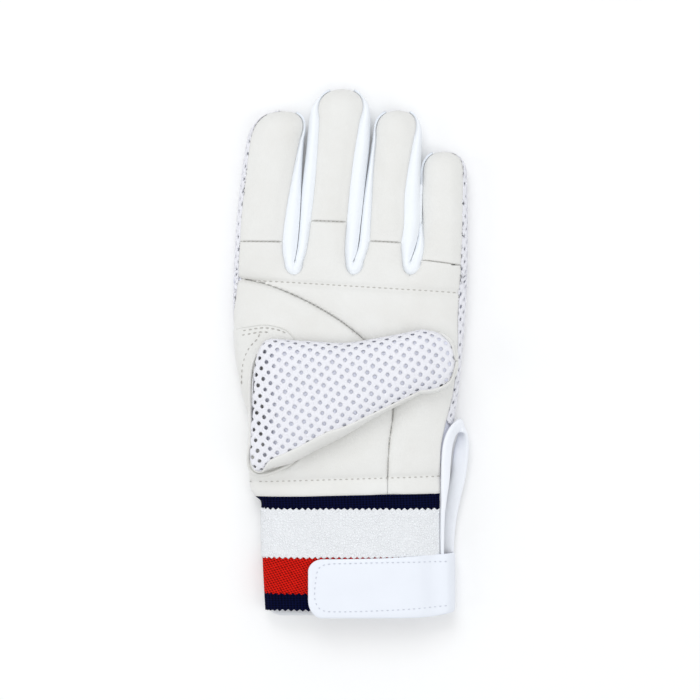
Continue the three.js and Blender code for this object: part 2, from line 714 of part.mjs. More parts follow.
// The open-mesh back: one sheet under the hand with a tongue under each finger, drawn up
// round the outer sides to the leather
function meshBack() {
  const sheet = new Sheet();
  const sideAngles = (edge) => [0, 0.25, 0.5, 0.75].map((share) => lerp(edge, LOWER_ANGLE, share));
  const edgeAngle = (side, y) => {
    const edge = leatherEdge(side, y) - EDGE_GAP_ANGLE;
    if (side < 0) return edge - MESH_DIP.angle * Math.exp(-(((y - MESH_DIP.y) / MESH_DIP.reach) ** 2));
    return lerp(MESH_AT_SLIT.angle, edge, smoothstep(MESH_AT_SLIT.low, MESH_AT_SLIT.high, y));
  };
  const row = (k, y) => {
    const finger = fingers[k];
    const points = [];
    const open = Math.sqrt(clamp((y - BACK_U) / (BACK_U_TOP - BACK_U), 0, 1));
    const own = (side) => {
      const wide = side < 0 ? finger.left(y) : finger.right(y);
      return wide - side * Math.min(BACK_INSET, BACK_INSET_SHARE * finger.half(y));
    };
    const webEdge = (side) => {
      const web = side < 0 ? WEBS[k - 1] : WEBS[k];
      return web && lerp(web.x, own(side), open);
    };
    const low = webEdge(-1) ?? onSide(-1, y, LOWER_ANGLE).x;
    const high = webEdge(1) ?? onSide(1, y, LOWER_ANGLE).x;
    if (!WEBS[k]) {
      const edge = edgeAngle(1, y);
      points.push(onSide(1, y, edge + BEYOND_EDGE));
      for (const angle of sideAngles(edge)) points.push(onSide(1, y, angle));
    }
    for (const share of steps(4)) points.push(underneath(lerp(high, low, share), y, finger));
    if (!WEBS[k - 1]) {
      const edge = edgeAngle(-1, y);
      for (const angle of sideAngles(edge).reverse()) points.push(onSide(-1, y, angle));
      points.push(onSide(-1, y, edge + BEYOND_EDGE));
    }
    return points;
  };
  fingers.forEach((finger, k) => {
    const heights = [BACK_LOW, -54, -42, -31, -26, -14, -2, 8, 18, 28, 34, BACK_U];
    heights.push(...[38.4, 40, 42.4, 48, 58, 72, 88].filter((y) => y < finger.round - 5));
    heights.push(finger.round, ...tipRows(finger));
    const rows = heights.map((y) => row(k, y));
    const last = tipRows(finger).at(-1) + 0.15;
    const nose = row(k, tipRows(finger).at(-1)).map((point) => (
      new THREE.Vector3(point.x, last, Math.min(point.z, SIDE_LEVEL - GAP / 2))
    ));
    rows.push(nose);
    rows.push(nose.map((point) => new THREE.Vector3(point.x, last - BEYOND_TIP, SIDE_LEVEL + 4)));
    const first = WEBS[k] ? 0 : 1;
    const end = rows[0].length - 2 - (WEBS[k - 1] ? 0 : 1);
    sheet.grid(rows, (i, j) => i < rows.length - 2 && j >= first && j <= end);
  });
  return sheet.solid(MESH_CLOTH);
}

// The folded thumb, as a flattened sleeve over the palm
const thumb = (() => {
  const column = (name) => follow(THUMB, 'x', name);
  const [upper, lower, depth, trim] = ['upper', 'lower', 'depth', 'trim'].map(column);
  const start = THUMB.at(-1).x;
  const tipShare = (x) => clamp((x - start) / (THUMB_TIP.x - start), 0, 1);
  const narrowing = (x) => (1 - tipShare(x) ** THUMB_TIP.power) ** (1 / THUMB_TIP.power);
  const centre = (x) => lerp((upper(x) + lower(x)) / 2, THUMB_TIP.y, tipShare(x));
  const half = (x) => ((upper(x) - lower(x)) / 2) * narrowing(x);
  const rest = (x, y) => THUMB_CLEAR + topHeight(
    clamp(x, THUMB_REST.left, THUMB_REST.right),
    clamp(y, THUMB_REST.low, THUMB_REST.high),
  );
  const plump = (x) => Math.sqrt(Math.max(0, 1 - tipShare(x) ** 2));
  const share = (x, y) => (y - centre(x)) / Math.max(0.1, half(x));
  const level = (x) => Math.min(THUMB_SIDE_LEVEL, 0.55 * depth(x));
  const top = (x, y) => {
    const side = level(x);
    const crown = (depth(x) - side) * plump(x) * rounded(share(x, y), THUMB_TOP);
    return rest(x, y) + side + crown;
  };
  const under = (x, y) => {
    const side = level(x);
    return rest(x, y) + side * (1 - plump(x) * rounded(share(x, y), THUMB_UNDER));
  };
  return { centre, half, top, under, trim, start };
})();

const thumbRound = (x) => Math.min(THUMB_ROUND.radius, THUMB_ROUND.share * thumb.half(x));

// A place on the thumb, by its angle round the upper or the lower side of the outline
function onThumb(side, x, angle) {
  const round = thumbRound(x);
  const y = thumb.centre(x) + side * (thumb.half(x) - round * (1 - Math.cos(radians(angle))));
  return new THREE.Vector3(x, y, angle >= 0 ? thumb.top(x, y) : thumb.under(x, y));
}

// How far round the lower side the open cloth ends, as an angle
const thumbTrimAngle = (x) => {
  const share = clamp(1 - thumb.trim(x) / thumbRound(x), -0.2, 1);
  return Math.min(60, (Math.acos(share) * 180) / Math.PI);
};
const thumbSections = () => {
  const sections = [-45.2, -44.2, -42.6, -40, -36.5, -31, -24, -15, -5, 5, 15, 24, thumb.start];
  return [...sections, ...TIP_ANGLES.map((angle) => (
    lerp(thumb.start, THUMB_TIP.x, Math.sin(radians(angle)))
  ))];
};

// The upper face of the thumb in open mesh, folded over its upper edge
function thumbMesh() {
  const sections = thumbSections();
  const rows = sections.map((x) => {
    const trim = thumbTrimAngle(x);
    const points = [onThumb(-1, x, trim - BEYOND_EDGE)];
    for (const share of [0, 0.3, 0.65]) points.push(onThumb(-1, x, lerp(trim, 80, share)));
    const low = onThumb(-1, x, 84).y;
    const high = onThumb(1, x, 80).y;
    for (const share of steps(5)) {
      const y = lerp(low, high, share);
      points.push(new THREE.Vector3(x, y, thumb.top(x, y)));
    }
    for (const angle of [55, 30, 5, -18, THUMB_FOLD_ANGLE, THUMB_FOLD_ANGLE - BEYOND_EDGE]) {
      points.push(onThumb(1, x, angle));
    }
    return points;
  });
  const last = rows[0].length - 2;
  const tipEnd = rows.length - 2;
  const sheet = new Sheet();
  sheet.grid(rows.map((row) => [...row].reverse()), (i, j) => i < tipEnd && j > 0 && j < last);
  return sheet.solid(MESH_CLOTH);
}

// The lower face of the thumb in leather, with its hole and its band along the lower edge
function thumbLeather() {
  const rows = thumbSections().map((x) => {
    const trim = thumbTrimAngle(x) - 6;
    const upperSide = [THUMB_FOLD_ANGLE + 10, THUMB_FOLD_ANGLE - 7, -62];
    const points = upperSide.map((angle) => onThumb(1, x, angle));
    const high = onThumb(1, x, -80).y;
    const low = onThumb(-1, x, -80).y;
    for (const share of steps(7)) {
      const y = lerp(high, low, share);
      points.push(new THREE.Vector3(x, y, thumb.under(x, y)));
    }
    for (const share of [0, 0.35, 0.7, 1]) points.push(onThumb(-1, x, lerp(-58, trim, share)));
    points.push(onThumb(-1, x, trim + BEYOND_EDGE));
    return points;
  });
  const last = rows[0].length - 2;
  const inHole = (middle) => (
    middle.x > THUMB_HOLE.left && middle.x < THUMB_HOLE.right + 3
    && middle.y > THUMB_HOLE.low && middle.y < THUMB_HOLE.high + 5
  );
  return new Sheet()
    .grid(rows.map((row) => row.reverse()), (i, j, middle) => j > 0 && j < last && !inHole(middle))
    .solid(THIN_LEATHER);
}

// The corded edge at the thumb's root, just outside the open cloth
function thumbWelt() {
  const x = THUMB[0].x - WELT_RADIUS - 3 * GAP;
  const places = WELT_HEIGHTS.map((y) => (
    new THREE.Vector3(x, y, thumb.under(THUMB[0].x, y) + WELT_RADIUS)
  ));
  const section = new THREE.Shape().absarc(0, 0, WELT_RADIUS, 0, 2 * Math.PI);
  return new THREE.ExtrudeGeometry(section, {
    steps: 24,
    curveSegments: 4,
    bevelEnabled: false,
    extrudePath: new THREE.CatmullRomCurve3(places),
  });
}

// The section of a flat band with rounded long edges, as shares of its width and thickness
const BAND_SECTION = [
  [-0.5, 0],
  [-0.44, 0.4],
  [0, 0.5],
  [0.44, 0.4],
  [0.5, 0],
  [0.44, -0.4],
  [0, -0.5],
  [-0.44, -0.4],
];

// A flat band, carried through its stations
function band(stations, thickness) {
  const rings = stations.map(({ middle, across, out, width }) => BAND_SECTION.map(([side, rise]) => (
    middle.clone().addScaledVector(across, side * width).addScaledVector(out, rise * thickness)
  )));
  const places = [];
  const add = (...corners) => corners.forEach((corner) => places.push(...corner.toArray()));
  const count = BAND_SECTION.length;
  for (let i = 0; i < rings.length - 1; i += 1) {
    for (let j = 0; j < count; j += 1) {
      const [a, b] = [rings[i][j], rings[i][(j + 1) % count]];
      const [c, d] = [rings[i + 1][(j + 1) % count], rings[i + 1][j]];
      add(a, b, c);
      add(a, c, d);
    }
  }
  for (let j = 1; j < count - 1; j += 1) {
    add(rings[0][0], rings[0][j + 1], rings[0][j]);
    add(rings.at(-1)[0], rings.at(-1)[j], rings.at(-1)[j + 1]);
  }
  const geometry = new THREE.BufferGeometry();
  geometry.setAttribute('position', new THREE.Float32BufferAttribute(places, 3));
  return geometry;
}

const AXIS_Y = new THREE.Vector3(0, 1, 0);

// The tape round the slit, turning over from the palm side to the back
function slitTape() {
  const columns = ['x', 'y', 'z', 'width', 'turn'];
  const rows = SLIT_TAPE.map((row, i) => ({ ...row, at: i }));
  const [x, y, z, width, turn] = columns.map((name) => follow(rows, 'at', name));
  const middleAt = (at) => new THREE.Vector3(x(at), y(at), z(at));
  const stations = steps(36).map((share) => {
    const at = share * (rows.length - 1);
    const along = middleAt(at + 0.1).sub(middleAt(at - 0.1)).normalize();
    const facing = new THREE.Vector3(0, 0, 1).applyAxisAngle(AXIS_Y, radians(turn(at)));
    const across = along.clone().cross(facing).normalize();
    const out = across.clone().cross(along).normalize();
    return { middle: middleAt(at), across, out, width: width(at) };
  });
  return band(stations, TAPE_THICKNESS);
}

// The elastic's rows from its lower edge up. The last one follows the palm's hem.
const ELASTIC_ROWS = [
  ELASTIC_LOW - 2,
  ELASTIC_LOW,
  -108,
  -100,
  TERRY.low - TERRY.slope,
  TERRY.low + TERRY.step,
  -85,
  -78,
  TERRY.high - TERRY.step,
  TERRY.high + TERRY.slope,
  0,
];

// The elastic band of the wrist: over the palm side, round the thumb side, in under the wrist
function wristElastic() {
  const rowHeight = (y, x) => (y === 0 ? acrossPalm(HEM, x) - HEM_GAP : y);
  const extra = (y) => (y < TERRY.high && y > TERRY.low ? TERRY.extra : 0);
  const raised = (point) => new THREE.Vector3(
    point.x,
    point.y,
    lerp(ELASTIC_BASE, SIDE_LEVEL, clamp(point.z / SIDE_LEVEL, 0, 1))
      + Math.max(0, point.z - SIDE_LEVEL),
  );
  const sideAngles = [-78, -60, -42, -20, 0, 22, 44, 62, UPPER_ANGLE];
  const rows = ELASTIC_ROWS.map((y) => {
    const atSide = rowHeight(y, hand.left(TERRY.high));
    const points = sideAngles.map((angle) => raised(onSide(-1, atSide, angle)));
    const start = points.at(-1).x;
    for (const share of [0.15, 0.35, 0.55, 0.75, 0.9, 1, 1.06]) {
      const x = lerp(start, ELASTIC_RIGHT, share);
      points.push(onTop(x, rowHeight(y, x)));
    }
    return points;
  });
  rows.push(rows.at(-1).map((point) => point.clone().add(new THREE.Vector3(0, 1, 0))));
  const last = rows[0].length - 2;
  return new Sheet()
    .grid(rows, (i, j) => i > 0 && i < rows.length - 2 && j > 0 && j < last)
    .solid((point) => ELASTIC - TERRY.extra + extra(point.y));
}

// The plain cloth on the back of the wrist
function wristPanel() {
  const { left, low, high, corner } = WRIST_PANEL;
  const outline = new THREE.Shape();
  outline.moveTo(left + corner, low);
  for (const { x, y } of WRIST_PANEL_SLIT) outline.lineTo(x, y);
  outline.lineTo(left, high);
  outline.lineTo(left, low + corner);
  outline.quadraticCurveTo(left, low, left + corner, low);
  const panel = new THREE.ExtrudeGeometry(outline, {
    depth: WRIST_CLOTH,
    bevelEnabled: false,
    curveSegments: 5,
  });
  panel.translate(0, 0, PANEL_BASE);
  return panel;
}

// The strap in one band: under the wrist, round the slit side, over the elastic
function wristStrap() {
  const upper = follow(STRAP_EDGES, 'x', 'upper');
  const lower = follow(STRAP_EDGES, 'x', 'lower');
  const onElasticAt = (x) => topHeight(x, STRAP_MIDDLE) + STRAP_RISE;
  const route = [STRAP_TAIL_X, 18, 30, 40].map((x) => [x, STRAP / 2, 0, 1]);
  const turnRadius = (onElasticAt(42) + STRAP) / 2;
  for (const angle of [-90, -66, -44, -22, 0, 22, 44, 66, 82]) {
    const side = Math.cos(radians(angle));
    const rise = Math.sin(radians(angle));
    route.push([
      STRAP_FOLD_X - STRAP_BEND + STRAP_BEND * side,
      turnRadius + (turnRadius - STRAP / 2) * rise,
      -side,
      -rise,
    ]);
  }
  const nearEnd = [8, 5, 2.5, 1, 0].map((distance) => STRAP_END_X + distance);
  for (const x of [38, 30, 20, 10, 0, -8, ...nearEnd]) route.push([x, null, 0, -1]);
  const stations = route.map(([x, height, outX, outZ]) => {
    const onElastic = height === null;
    const z = onElastic ? onElasticAt(Math.min(x, STRAP_LEVEL_X)) + STRAP / 2 : height;
    const [high, low] = [upper(x), lower(x)];
    const over = clamp((x - STRAP_END_X) / STRAP_END_RADIUS, 0.03, 1);
    const cut = onElastic ? STRAP_END_RADIUS * (1 - Math.sqrt(1 - (1 - over) ** 2)) : 0;
    return {
      middle: new THREE.Vector3(x, (high + low) / 2, z),
      across: new THREE.Vector3(0, 1, 0),
      out: new THREE.Vector3(-outX, 0, -outZ).normalize(),
      width: high - low - 2 * cut,
    };
  });
  return band(stations, STRAP);
}

const group = new THREE.Group();

function place(name, geometry, colour, roughness) {
  geometry.computeVertexNormals();
  const material = new THREE.MeshStandardMaterial({ color: colour, roughness, metalness: 0 });
  const mesh = new THREE.Mesh(geometry, material);
  mesh.name = name;
  group.add(mesh);
}

place('palm_panel', palmPanel, COLOURS.leather, 0.62);
place('thenar_panel', thenarPanel, COLOURS.leather, 0.62);
place('thumb_patch', thumbPatch(), COLOURS.leather, 0.62);
fingers.forEach((finger) => place(`${finger.name}_front`, fingerFront(finger), COLOURS.leather, 0.62));
WEBS.forEach((web, k) => place(`side_strip_${web.name}`, sideStrip(k), COLOURS.sideStrip, 0.7));
place('mesh_back', meshBack(), COLOURS.openMesh, 0.85);
place('thumb_mesh', thumbMesh(), COLOURS.openMesh, 0.85);
place('thumb_leather', thumbLeather(), COLOURS.leather, 0.62);
place('thumb_welt', thumbWelt(), COLOURS.leather, 0.6);
place('wrist_elastic', wristElastic(), COLOURS.elastic, 0.95);
place('wrist_panel', wristPanel(), COLOURS.panel, 0.8);
place('slit_tape', slitTape(), COLOURS.tape, 0.7);
place('wrist_strap', wristStrap(), COLOURS.strap, 0.5);

export default group;
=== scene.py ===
"""A wicketkeeping inner glove for the left hand, lying on its back with the palm up.

Sizes are millimetres until a mesh is made. +Z is up, +Y runs to the fingertips and -X is the
thumb side.
"""

import logging
import math
from dataclasses import dataclass, field
from enum import Enum
from typing import Any, Callable, Sequence

import bpy
import numpy as np
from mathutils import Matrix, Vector


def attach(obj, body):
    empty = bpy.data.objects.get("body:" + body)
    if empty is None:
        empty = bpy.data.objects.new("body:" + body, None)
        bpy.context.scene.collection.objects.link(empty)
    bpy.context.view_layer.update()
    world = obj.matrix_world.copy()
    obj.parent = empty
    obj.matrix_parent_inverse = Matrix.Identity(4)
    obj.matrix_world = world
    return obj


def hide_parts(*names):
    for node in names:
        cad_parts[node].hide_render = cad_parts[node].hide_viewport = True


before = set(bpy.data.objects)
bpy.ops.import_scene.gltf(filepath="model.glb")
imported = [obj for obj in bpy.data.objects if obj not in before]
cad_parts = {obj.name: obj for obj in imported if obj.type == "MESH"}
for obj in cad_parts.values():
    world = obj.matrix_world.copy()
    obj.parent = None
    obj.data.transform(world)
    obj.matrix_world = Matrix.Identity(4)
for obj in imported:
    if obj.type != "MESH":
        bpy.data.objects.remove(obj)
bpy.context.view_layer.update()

MM = 0.001
PER_METRE = 1000
TINY = 1e-9
CLOTH_UNIT = 100.0
GAP = 0.1
SIDE_TOP = 78.0
PHOTO_CENTRE = (-0.23, 1.46)
PHOTO_WIDTH = 318.5

log = logging.getLogger("glove")
Array = np.ndarray


def mix(a: Any, b: Any, share: Any) -> Any:
    """Returns a at share 0, b at share 1, and a straight line between them."""
    return a + (b - a) * share


def smoothstep(low: float, high: float, value: Array) -> Array:
    """Returns 0 below low, 1 above high and the cubic 3t^2 - 2t^3 between them."""
    t = np.clip((value - low) / (high - low), 0, 1)
    return t * t * (3 - 2 * t)


def edge_roll(distance: Array, radius: float, depth: float) -> Array:
    """How far a turned-in edge drops: a quarter circle of the radius, squashed to the depth.

    Args:
        distance: how far each point lies inside the edge.
        radius: how far in the turn begins.
        depth: the drop at the edge itself.

    Returns:
        The drop at each point.
    """
    return depth * (1 - quarter(np.clip(distance / radius, 0, 1)))


def bell(distance: Array, width: float) -> Array:
    """Returns the bell curve exp(-(d / w)^2)."""
    return np.exp(-((distance / width) ** 2))


def oval(share: Array, power: float) -> Array:
    """Returns the superellipse (1 - s^p)^(1/p): 1 at its middle and 0 at its end."""
    return (1 - share**power) ** (1 / power)


def quarter(share: Array) -> Array:
    """Returns a quarter circle, which rises from 0 at share 0 to 1 at share 1."""
    return np.sqrt(1 - (1 - share) ** 2)


def unit(vectors: Array) -> Array:
    """Returns vectors of length one in the same directions."""
    return vectors / np.maximum(np.linalg.norm(vectors, axis=-1, keepdims=True), TINY)


def lengths(places: Array) -> Array:
    """Returns the length along each row of places, counted from its first place."""
    step = np.linalg.norm(np.diff(places, axis=-2), axis=-1)
    return np.concatenate([np.zeros_like(step[..., :1]), np.cumsum(step, -1)], -1)


@dataclass(frozen=True)
class Curve:
    """A smooth cubic curve through the rows of a table, held at its ends."""

    at: tuple[float, ...]
    value: tuple[float, ...]

    def __call__(self, place: Any) -> Array:
        """Works the curve out with a Hermite cubic in each span.

        Args:
            place: where on the first column, a number or an array.

        Returns:
            The second column there.
        """
        at, value = np.array(self.at, float), np.array(self.value, float)
        slope = np.empty_like(at)
        slope[1:-1] = (value[2:] - value[:-2]) / (at[2:] - at[:-2])
        slope[0] = (value[1] - value[0]) / (at[1] - at[0])
        slope[-1] = (value[-1] - value[-2]) / (at[-1] - at[-2])
        here = np.clip(place, at[0], at[-1])
        i = np.clip(np.searchsorted(at, here, side="left") - 1, 0, len(at) - 2)
        span = at[i + 1] - at[i]
        t = (here - at[i]) / span
        square, cube = t * t, t * t * t
        return (
            (2 * cube - 3 * square + 1) * value[i]
            + (cube - 2 * square + t) * span * slope[i]
            + (3 * square - 2 * cube) * value[i + 1]
            + (cube - square) * span * slope[i + 1]
        )


def rounded(share: Array, flat: float, power: float) -> Array:
    """Returns the height share of a rounded section: 1 over its flat middle, 0 at its side."""
    side = np.clip((np.abs(share) - flat) / (1 - flat), 0, 1)
    return oval(side, power)


def line_distance(line: Sequence[tuple[float, float]], x: Array, y: Array) -> tuple[Array, Array]:
    """Measures how far points lie from a line of straight pieces.

    Args:
        line: the corners of the line.
        x: across the glove.
        y: along the glove.

    Returns:
        The nearest distance, and the same with a minus sign right of the line's direction.
    """
    corners = np.array(line, float)
    best = np.full(np.shape(x), np.inf)
    signed = np.full(np.shape(x), np.inf)
    for start, end in zip(corners[:-1], corners[1:]):
        along = end - start
        length = math.hypot(*along)
        dx, dy = x - start[0], y - start[1]
        t = np.clip((dx * along[0] + dy * along[1]) / length**2, 0, 1)
        distance = np.hypot(dx - t * along[0], dy - t * along[1])
        side = np.sign(along[0] * dy - along[1] * dx)
        nearer = distance < best
        best = np.where(nearer, distance, best)
        signed = np.where(nearer, side * distance, signed)
    return best, signed


def spline(points: Sequence[tuple[float, ...]], count: int) -> Array:
    """Runs a smooth curve of the given number of steps through a few points.

    Args:
        points: the points, each a row of numbers.
        count: how many places to return.

    Returns:
        The places, evenly spaced along the line of straight pieces between the points.
    """
    table = np.array(points, float)
    length = lengths(table[:, :3])
    at = np.linspace(0, length[-1], count)
    return np.stack([Curve(tuple(length), tuple(column))(at) for column in table.T], -1)


@dataclass(frozen=True)
class Finger:
    """One finger's outline in plan, with its rounded tip, and the edges of its padded leather."""

    name: str
    round: float
    tip: tuple[float, float]
    power: float
    seam: tuple[float, float]
    y: tuple[float, ...]
    left_row: tuple[float, ...]
    right_row: tuple[float, ...]
    pad_left_row: tuple[float, ...]
    pad_right_row: tuple[float, ...]

    def tip_share(self, y: Array) -> Array:
        """Returns how far into the rounded tip a place lies, from 0 to 1."""
        return np.clip((y - self.round) / (self.tip[1] - self.round), 0, 1)

    def centre(self, y: Array) -> Array:
        """Returns the middle line, which leans to the tip's own place over the tip."""
        middle = (Curve(self.y, self.left_row)(y) + Curve(self.y, self.right_row)(y)) / 2
        return mix(middle, self.tip[0], self.tip_share(y))

    def half(self, y: Array) -> Array:
        """Returns half the width, which narrows over the tip as a superellipse."""
        width = Curve(self.y, self.right_row)(y) - Curve(self.y, self.left_row)(y)
        return width / 2 * oval(self.tip_share(y), self.power)

    def side(self, side: int, y: Array) -> Array:
        """Returns the outline: the middle line plus or minus half the width."""
        return self.centre(y) + side * self.half(y)

    def pad_side(self, side: int, y: Array) -> Array:
        """Returns the leather's edge: the outline less an inset that shrinks over the tip."""
        rows = (self.left_row, self.pad_left_row) if side < 0 else (self.right_row, self.pad_right_row)
        straight = np.abs(Curve(self.y, rows[1])(y) - Curve(self.y, rows[0])(y))
        inset = np.minimum(0.55 * self.half(y), mix(straight, 0.6, self.tip_share(y)))
        return self.side(side, y) - side * inset

    def depth(self, y: Array) -> Array:
        """Returns the share of the full depth: 1, falling as a quarter circle over the tip."""
        return oval(self.tip_share(y), 2)

    def share(self, x: Array, y: Array) -> Array:
        """Returns how far a place lies from the middle line: -1 and 1 on the outline."""
        return (x - self.centre(y)) / np.maximum(0.1, self.half(y))

    def seam_at(self, x: Array) -> Array:
        """Returns the height of the seam at the finger's root, a straight line across."""
        left, right = Curve(self.y, self.left_row)(50.0), Curve(self.y, self.right_row)(50.0)
        return mix(self.seam[0], self.seam[1], (x - left) / (right - left))


FINGERS = (
    Finger(
        "index", 97, (-30.6, 110), 2.5, (50.6, 50.4), (41, 47, 60, 79, 97),
        (-53.0, -52.6, -51.8, -49.9, -47.2), (-25.7, -24.5, -23.2, -22.3, -21.1),
        (-50.8, -50.3, -49.7, -47.8, -45.5), (-29.8, -30.8, -29.8, -26.6, -23.1),
    ),
    Finger(
        "middle", 106.5, (-3.8, 120.1), 2.2, (60.2, 59.2), (41, 47, 60, 79, 92.5, 106.5),
        (-25.1, -23.9, -22.6, -21.6, -20.2, -18.9), (0.9, 3.0, 4.6, 6.8, 8.8, 9.2),
        (-21.6, -19.8, -18.0, -15.9, -14.9, -14.1), (-2.1, -2.5, -1.6, 0.2, 2.0, 4.4),
    ),
    Finger(
        "ring", 98, (21.6, 110.3), 2.5, (51.0, 49.6), (41, 49, 58, 70, 83, 98),
        (1.4, 4.1, 5.0, 6.3, 7.9, 10.0), (26.6, 29.5, 31.4, 31.3, 31.9, 32.7),
        (5.8, 8.4, 9.1, 9.8, 10.5, 11.8), (23.6, 23.0, 23.8, 24.3, 26.0, 28.7),
    ),
    Finger(
        "little", 80, (42.5, 91.6), 2.5, (42.4, 39.4), (41, 49, 58, 70, 80),
        (27.2, 30.1, 31.7, 31.7, 32.3), (53.3, 53.4, 53.5, 53.3, 53.1),
        (32.0, 33.4, 32.9, 32.6, 33.1), (50.1, 50.6, 50.8, 51.0, 51.2),
    ),
)


@dataclass(frozen=True)
class GloveForm:
    """The sections of the hand and fingers that every piece is fitted to."""

    side_level: float = 6.6
    finger_height: float = 15.0
    side_round: float = 10.0
    webs: tuple[float, ...] = (-25.4, 1.15, 26.9)
    web_y: float = 40.9
    pad_u: float = 35.6
    back_u: float = 37.6
    knuckle: tuple[float, float] = (33.4, 27.3)
    lower: tuple[float, float] = (-58.4, -55.4)
    hem: tuple[float, float] = (-66.0, -63.9)
    groove_depth: float = 0.9
    groove_width: float = 2.2
    palm_flat: float = 0.42
    finger_flat: float = 0.1
    under_flat: float = 0.62
    dome_power: float = 2.1
    blend: tuple[float, float] = (16, 50)
    bridge: tuple[float, float] = (31, 46)
    pad_opening: float = 5.2
    back_opening: float = 5.4
    y: tuple[float, ...] = (
        -120, -108, -92, -70, -67, -65, -62, -54, -42, -34, -29, -20, -5.6, 5.6, 15.2, 24, 37, 52,
    )
    left_row: tuple[float, ...] = (
        -38.6, -39.3, -40.1, -40.6, -41.0, -43.3, -45.3, -46.0, -45.0, -45.0, -46.0, -48.6, -51.4,
        -52.6, -53.1, -53.5, -53.1, -52.3,
    )
    right_row: tuple[float, ...] = (
        43.0, 43.4, 44.0, 45.2, 45.5, 45.7, 45.9, 46.5, 47.0, 47.2, 47.4, 48.9, 50.4, 51.4, 52.1,
        52.7, 53.2, 53.4,
    )
    height_row: tuple[float, ...] = (
        14.6, 14.9, 15.3, 15.8, 15.9, 16.0, 16.4, 16.9, 17.4, 17.7, 17.8, 18.0, 18.0, 18.0, 17.8,
        17.5, 17.0, 16.5,
    )
    pad_left_row: tuple[float, ...] = (
        -55, -55, -55, -55, -55, -55, -55, -55, -55, -55, -55, -55, -45, -26, 0, 30, 38, 38,
    )
    pad_right_row: tuple[float, ...] = (
        62, 62, 62, 60, 60, 60, 62, 66, 66, 57, 50, 44, 40, 43, 49, 50, 48, 44,
    )

    def hand_side(self, side: int, y: Array) -> Array:
        """Returns the hand's outline at one side, a smooth curve through the table."""
        return Curve(self.y, self.left_row if side < 0 else self.right_row)(y)

    def hand_share(self, x: Array, y: Array) -> Array:
        """Returns how far a place lies from the hand's middle: -1 and 1 on the outline."""
        low, high = self.hand_side(-1, y), self.hand_side(1, y)
        return (2 * x - low - high) / (high - low)

    def across(self, line: tuple[float, float], x: Array) -> Array:
        """Returns the height of a sewn line, straight across the palm between two heights."""
        return mix(line[0], line[1], (x + 50) / 100)

    def stitched(self, x: Array, y: Array) -> Array:
        """Returns how far the sewn lines draw the leather in, a bell curve beside each."""
        return self.groove_depth * (
            bell(y - self.across(self.knuckle, x), self.groove_width)
            + bell(y - self.across(self.lower, x), self.groove_width)
        )

    def by_finger(self, height: Callable[[Finger], Array], x: Array, finger: Finger | None) -> Array:
        """Works a height out for one finger, or at each place for the finger above it."""
        if finger is not None:
            return height(finger)
        heights = [height(each) for each in FINGERS]
        return np.select([x < web for web in self.webs], heights[:3], heights[3])

    def top(self, x: Array, y: Array, finger: Finger | None = None) -> Array:
        """The height of the upper surface: one low dome over the hand, one over each finger.

        Args:
            x: across the glove.
            y: along the glove.
            finger: the finger that a place belongs to, or None for the nearest.

        Returns:
            The dome over the hand below y 16, the finger's above y 50, and a blend between.
        """
        crown = Curve(self.y, self.height_row)(y)
        section = rounded(self.hand_share(x, y), self.palm_flat, self.dome_power)
        palm = mix(self.side_level, crown, section)

        def dome(each: Finger) -> Array:
            """Returns the finger's dome, lower towards its tip and bridged below a web."""
            own = each.share(x, y)
            peak = mix(self.side_level, self.finger_height, each.depth(y))
            outer = -1 if each is FINGERS[0] else 1 if each is FINGERS[-1] else 0
            section = rounded(own, self.finger_flat, self.dome_power)
            bridged = mix(1, section, smoothstep(*self.bridge, y))
            return mix(self.side_level, peak, np.where(own * outer > 0, section, bridged))

        over = self.by_finger(dome, x, finger)
        return mix(palm, over, smoothstep(*self.blend, y)) - self.stitched(x, y)

    def under(self, x: Array, y: Array, finger: Finger | None = None) -> Array:
        """The height of the underside: flat on the surface, curving up to the widest places.

        Args:
            x: across the glove.
            y: along the glove.
            finger: the finger that a place belongs to, or None for the nearest.

        Returns:
            The height, blended from hand to finger as the top is.
        """
        palm = self.side_level * (1 - rounded(self.hand_share(x, y), self.under_flat, 2))

        def bowl(each: Finger) -> Array:
            """Returns the finger's underside, higher towards its tip."""
            section = rounded(each.share(x, y), self.under_flat, 2)
            return self.side_level * (1 - section * each.depth(y))

        return mix(palm, self.by_finger(bowl, x, finger), smoothstep(*self.blend, y))

    def leather_edge(self, side: int, y: Array) -> Array:
        """Returns how far round the outer side the leather ends, as an angle in degrees."""
        palm = Curve(self.y, self.pad_left_row if side < 0 else self.pad_right_row)(y)
        finger = FINGERS[0] if side < 0 else FINGERS[-1]
        inset = np.abs(finger.pad_side(side, y) - finger.side(side, y))
        turn = np.minimum(self.side_round, 1.2 * finger.half(y))
        own = np.degrees(np.arccos(np.clip(1 - inset / np.maximum(turn, 1e-6), 0, 1)))
        return mix(palm, own, smoothstep(30, 39, y))

    def on_side(self, side: int, y: Array, angle: Array) -> Array:
        """A place on the glove's outer side, by its angle round that side.

        Args:
            side: -1 for the thumb side, 1 for the little-finger side.
            y: along the glove.
            angle: 90 on top, 0 at the widest place, -90 underneath.

        Returns:
            The places; x is the outline moved in by r (1 - cos angle).
        """
        y, angle = np.broadcast_arrays(np.asarray(y, float), np.asarray(angle, float))
        finger = FINGERS[0] if side < 0 else FINGERS[-1]
        low = np.where(y > self.pad_u, finger.side(-1, y), self.hand_side(-1, y))
        high = np.where(y > self.pad_u, finger.side(1, y), self.hand_side(1, y))
        turn = np.minimum(self.side_round, 0.6 * (high - low))
        inset = turn * (1 - np.cos(np.radians(angle)))
        x = low + inset if side < 0 else high - inset
        z = np.where(angle >= 0, self.top(x, y, finger), self.under(x, y, finger))
        return np.stack([x, y, z], -1)


FORM = GloveForm()


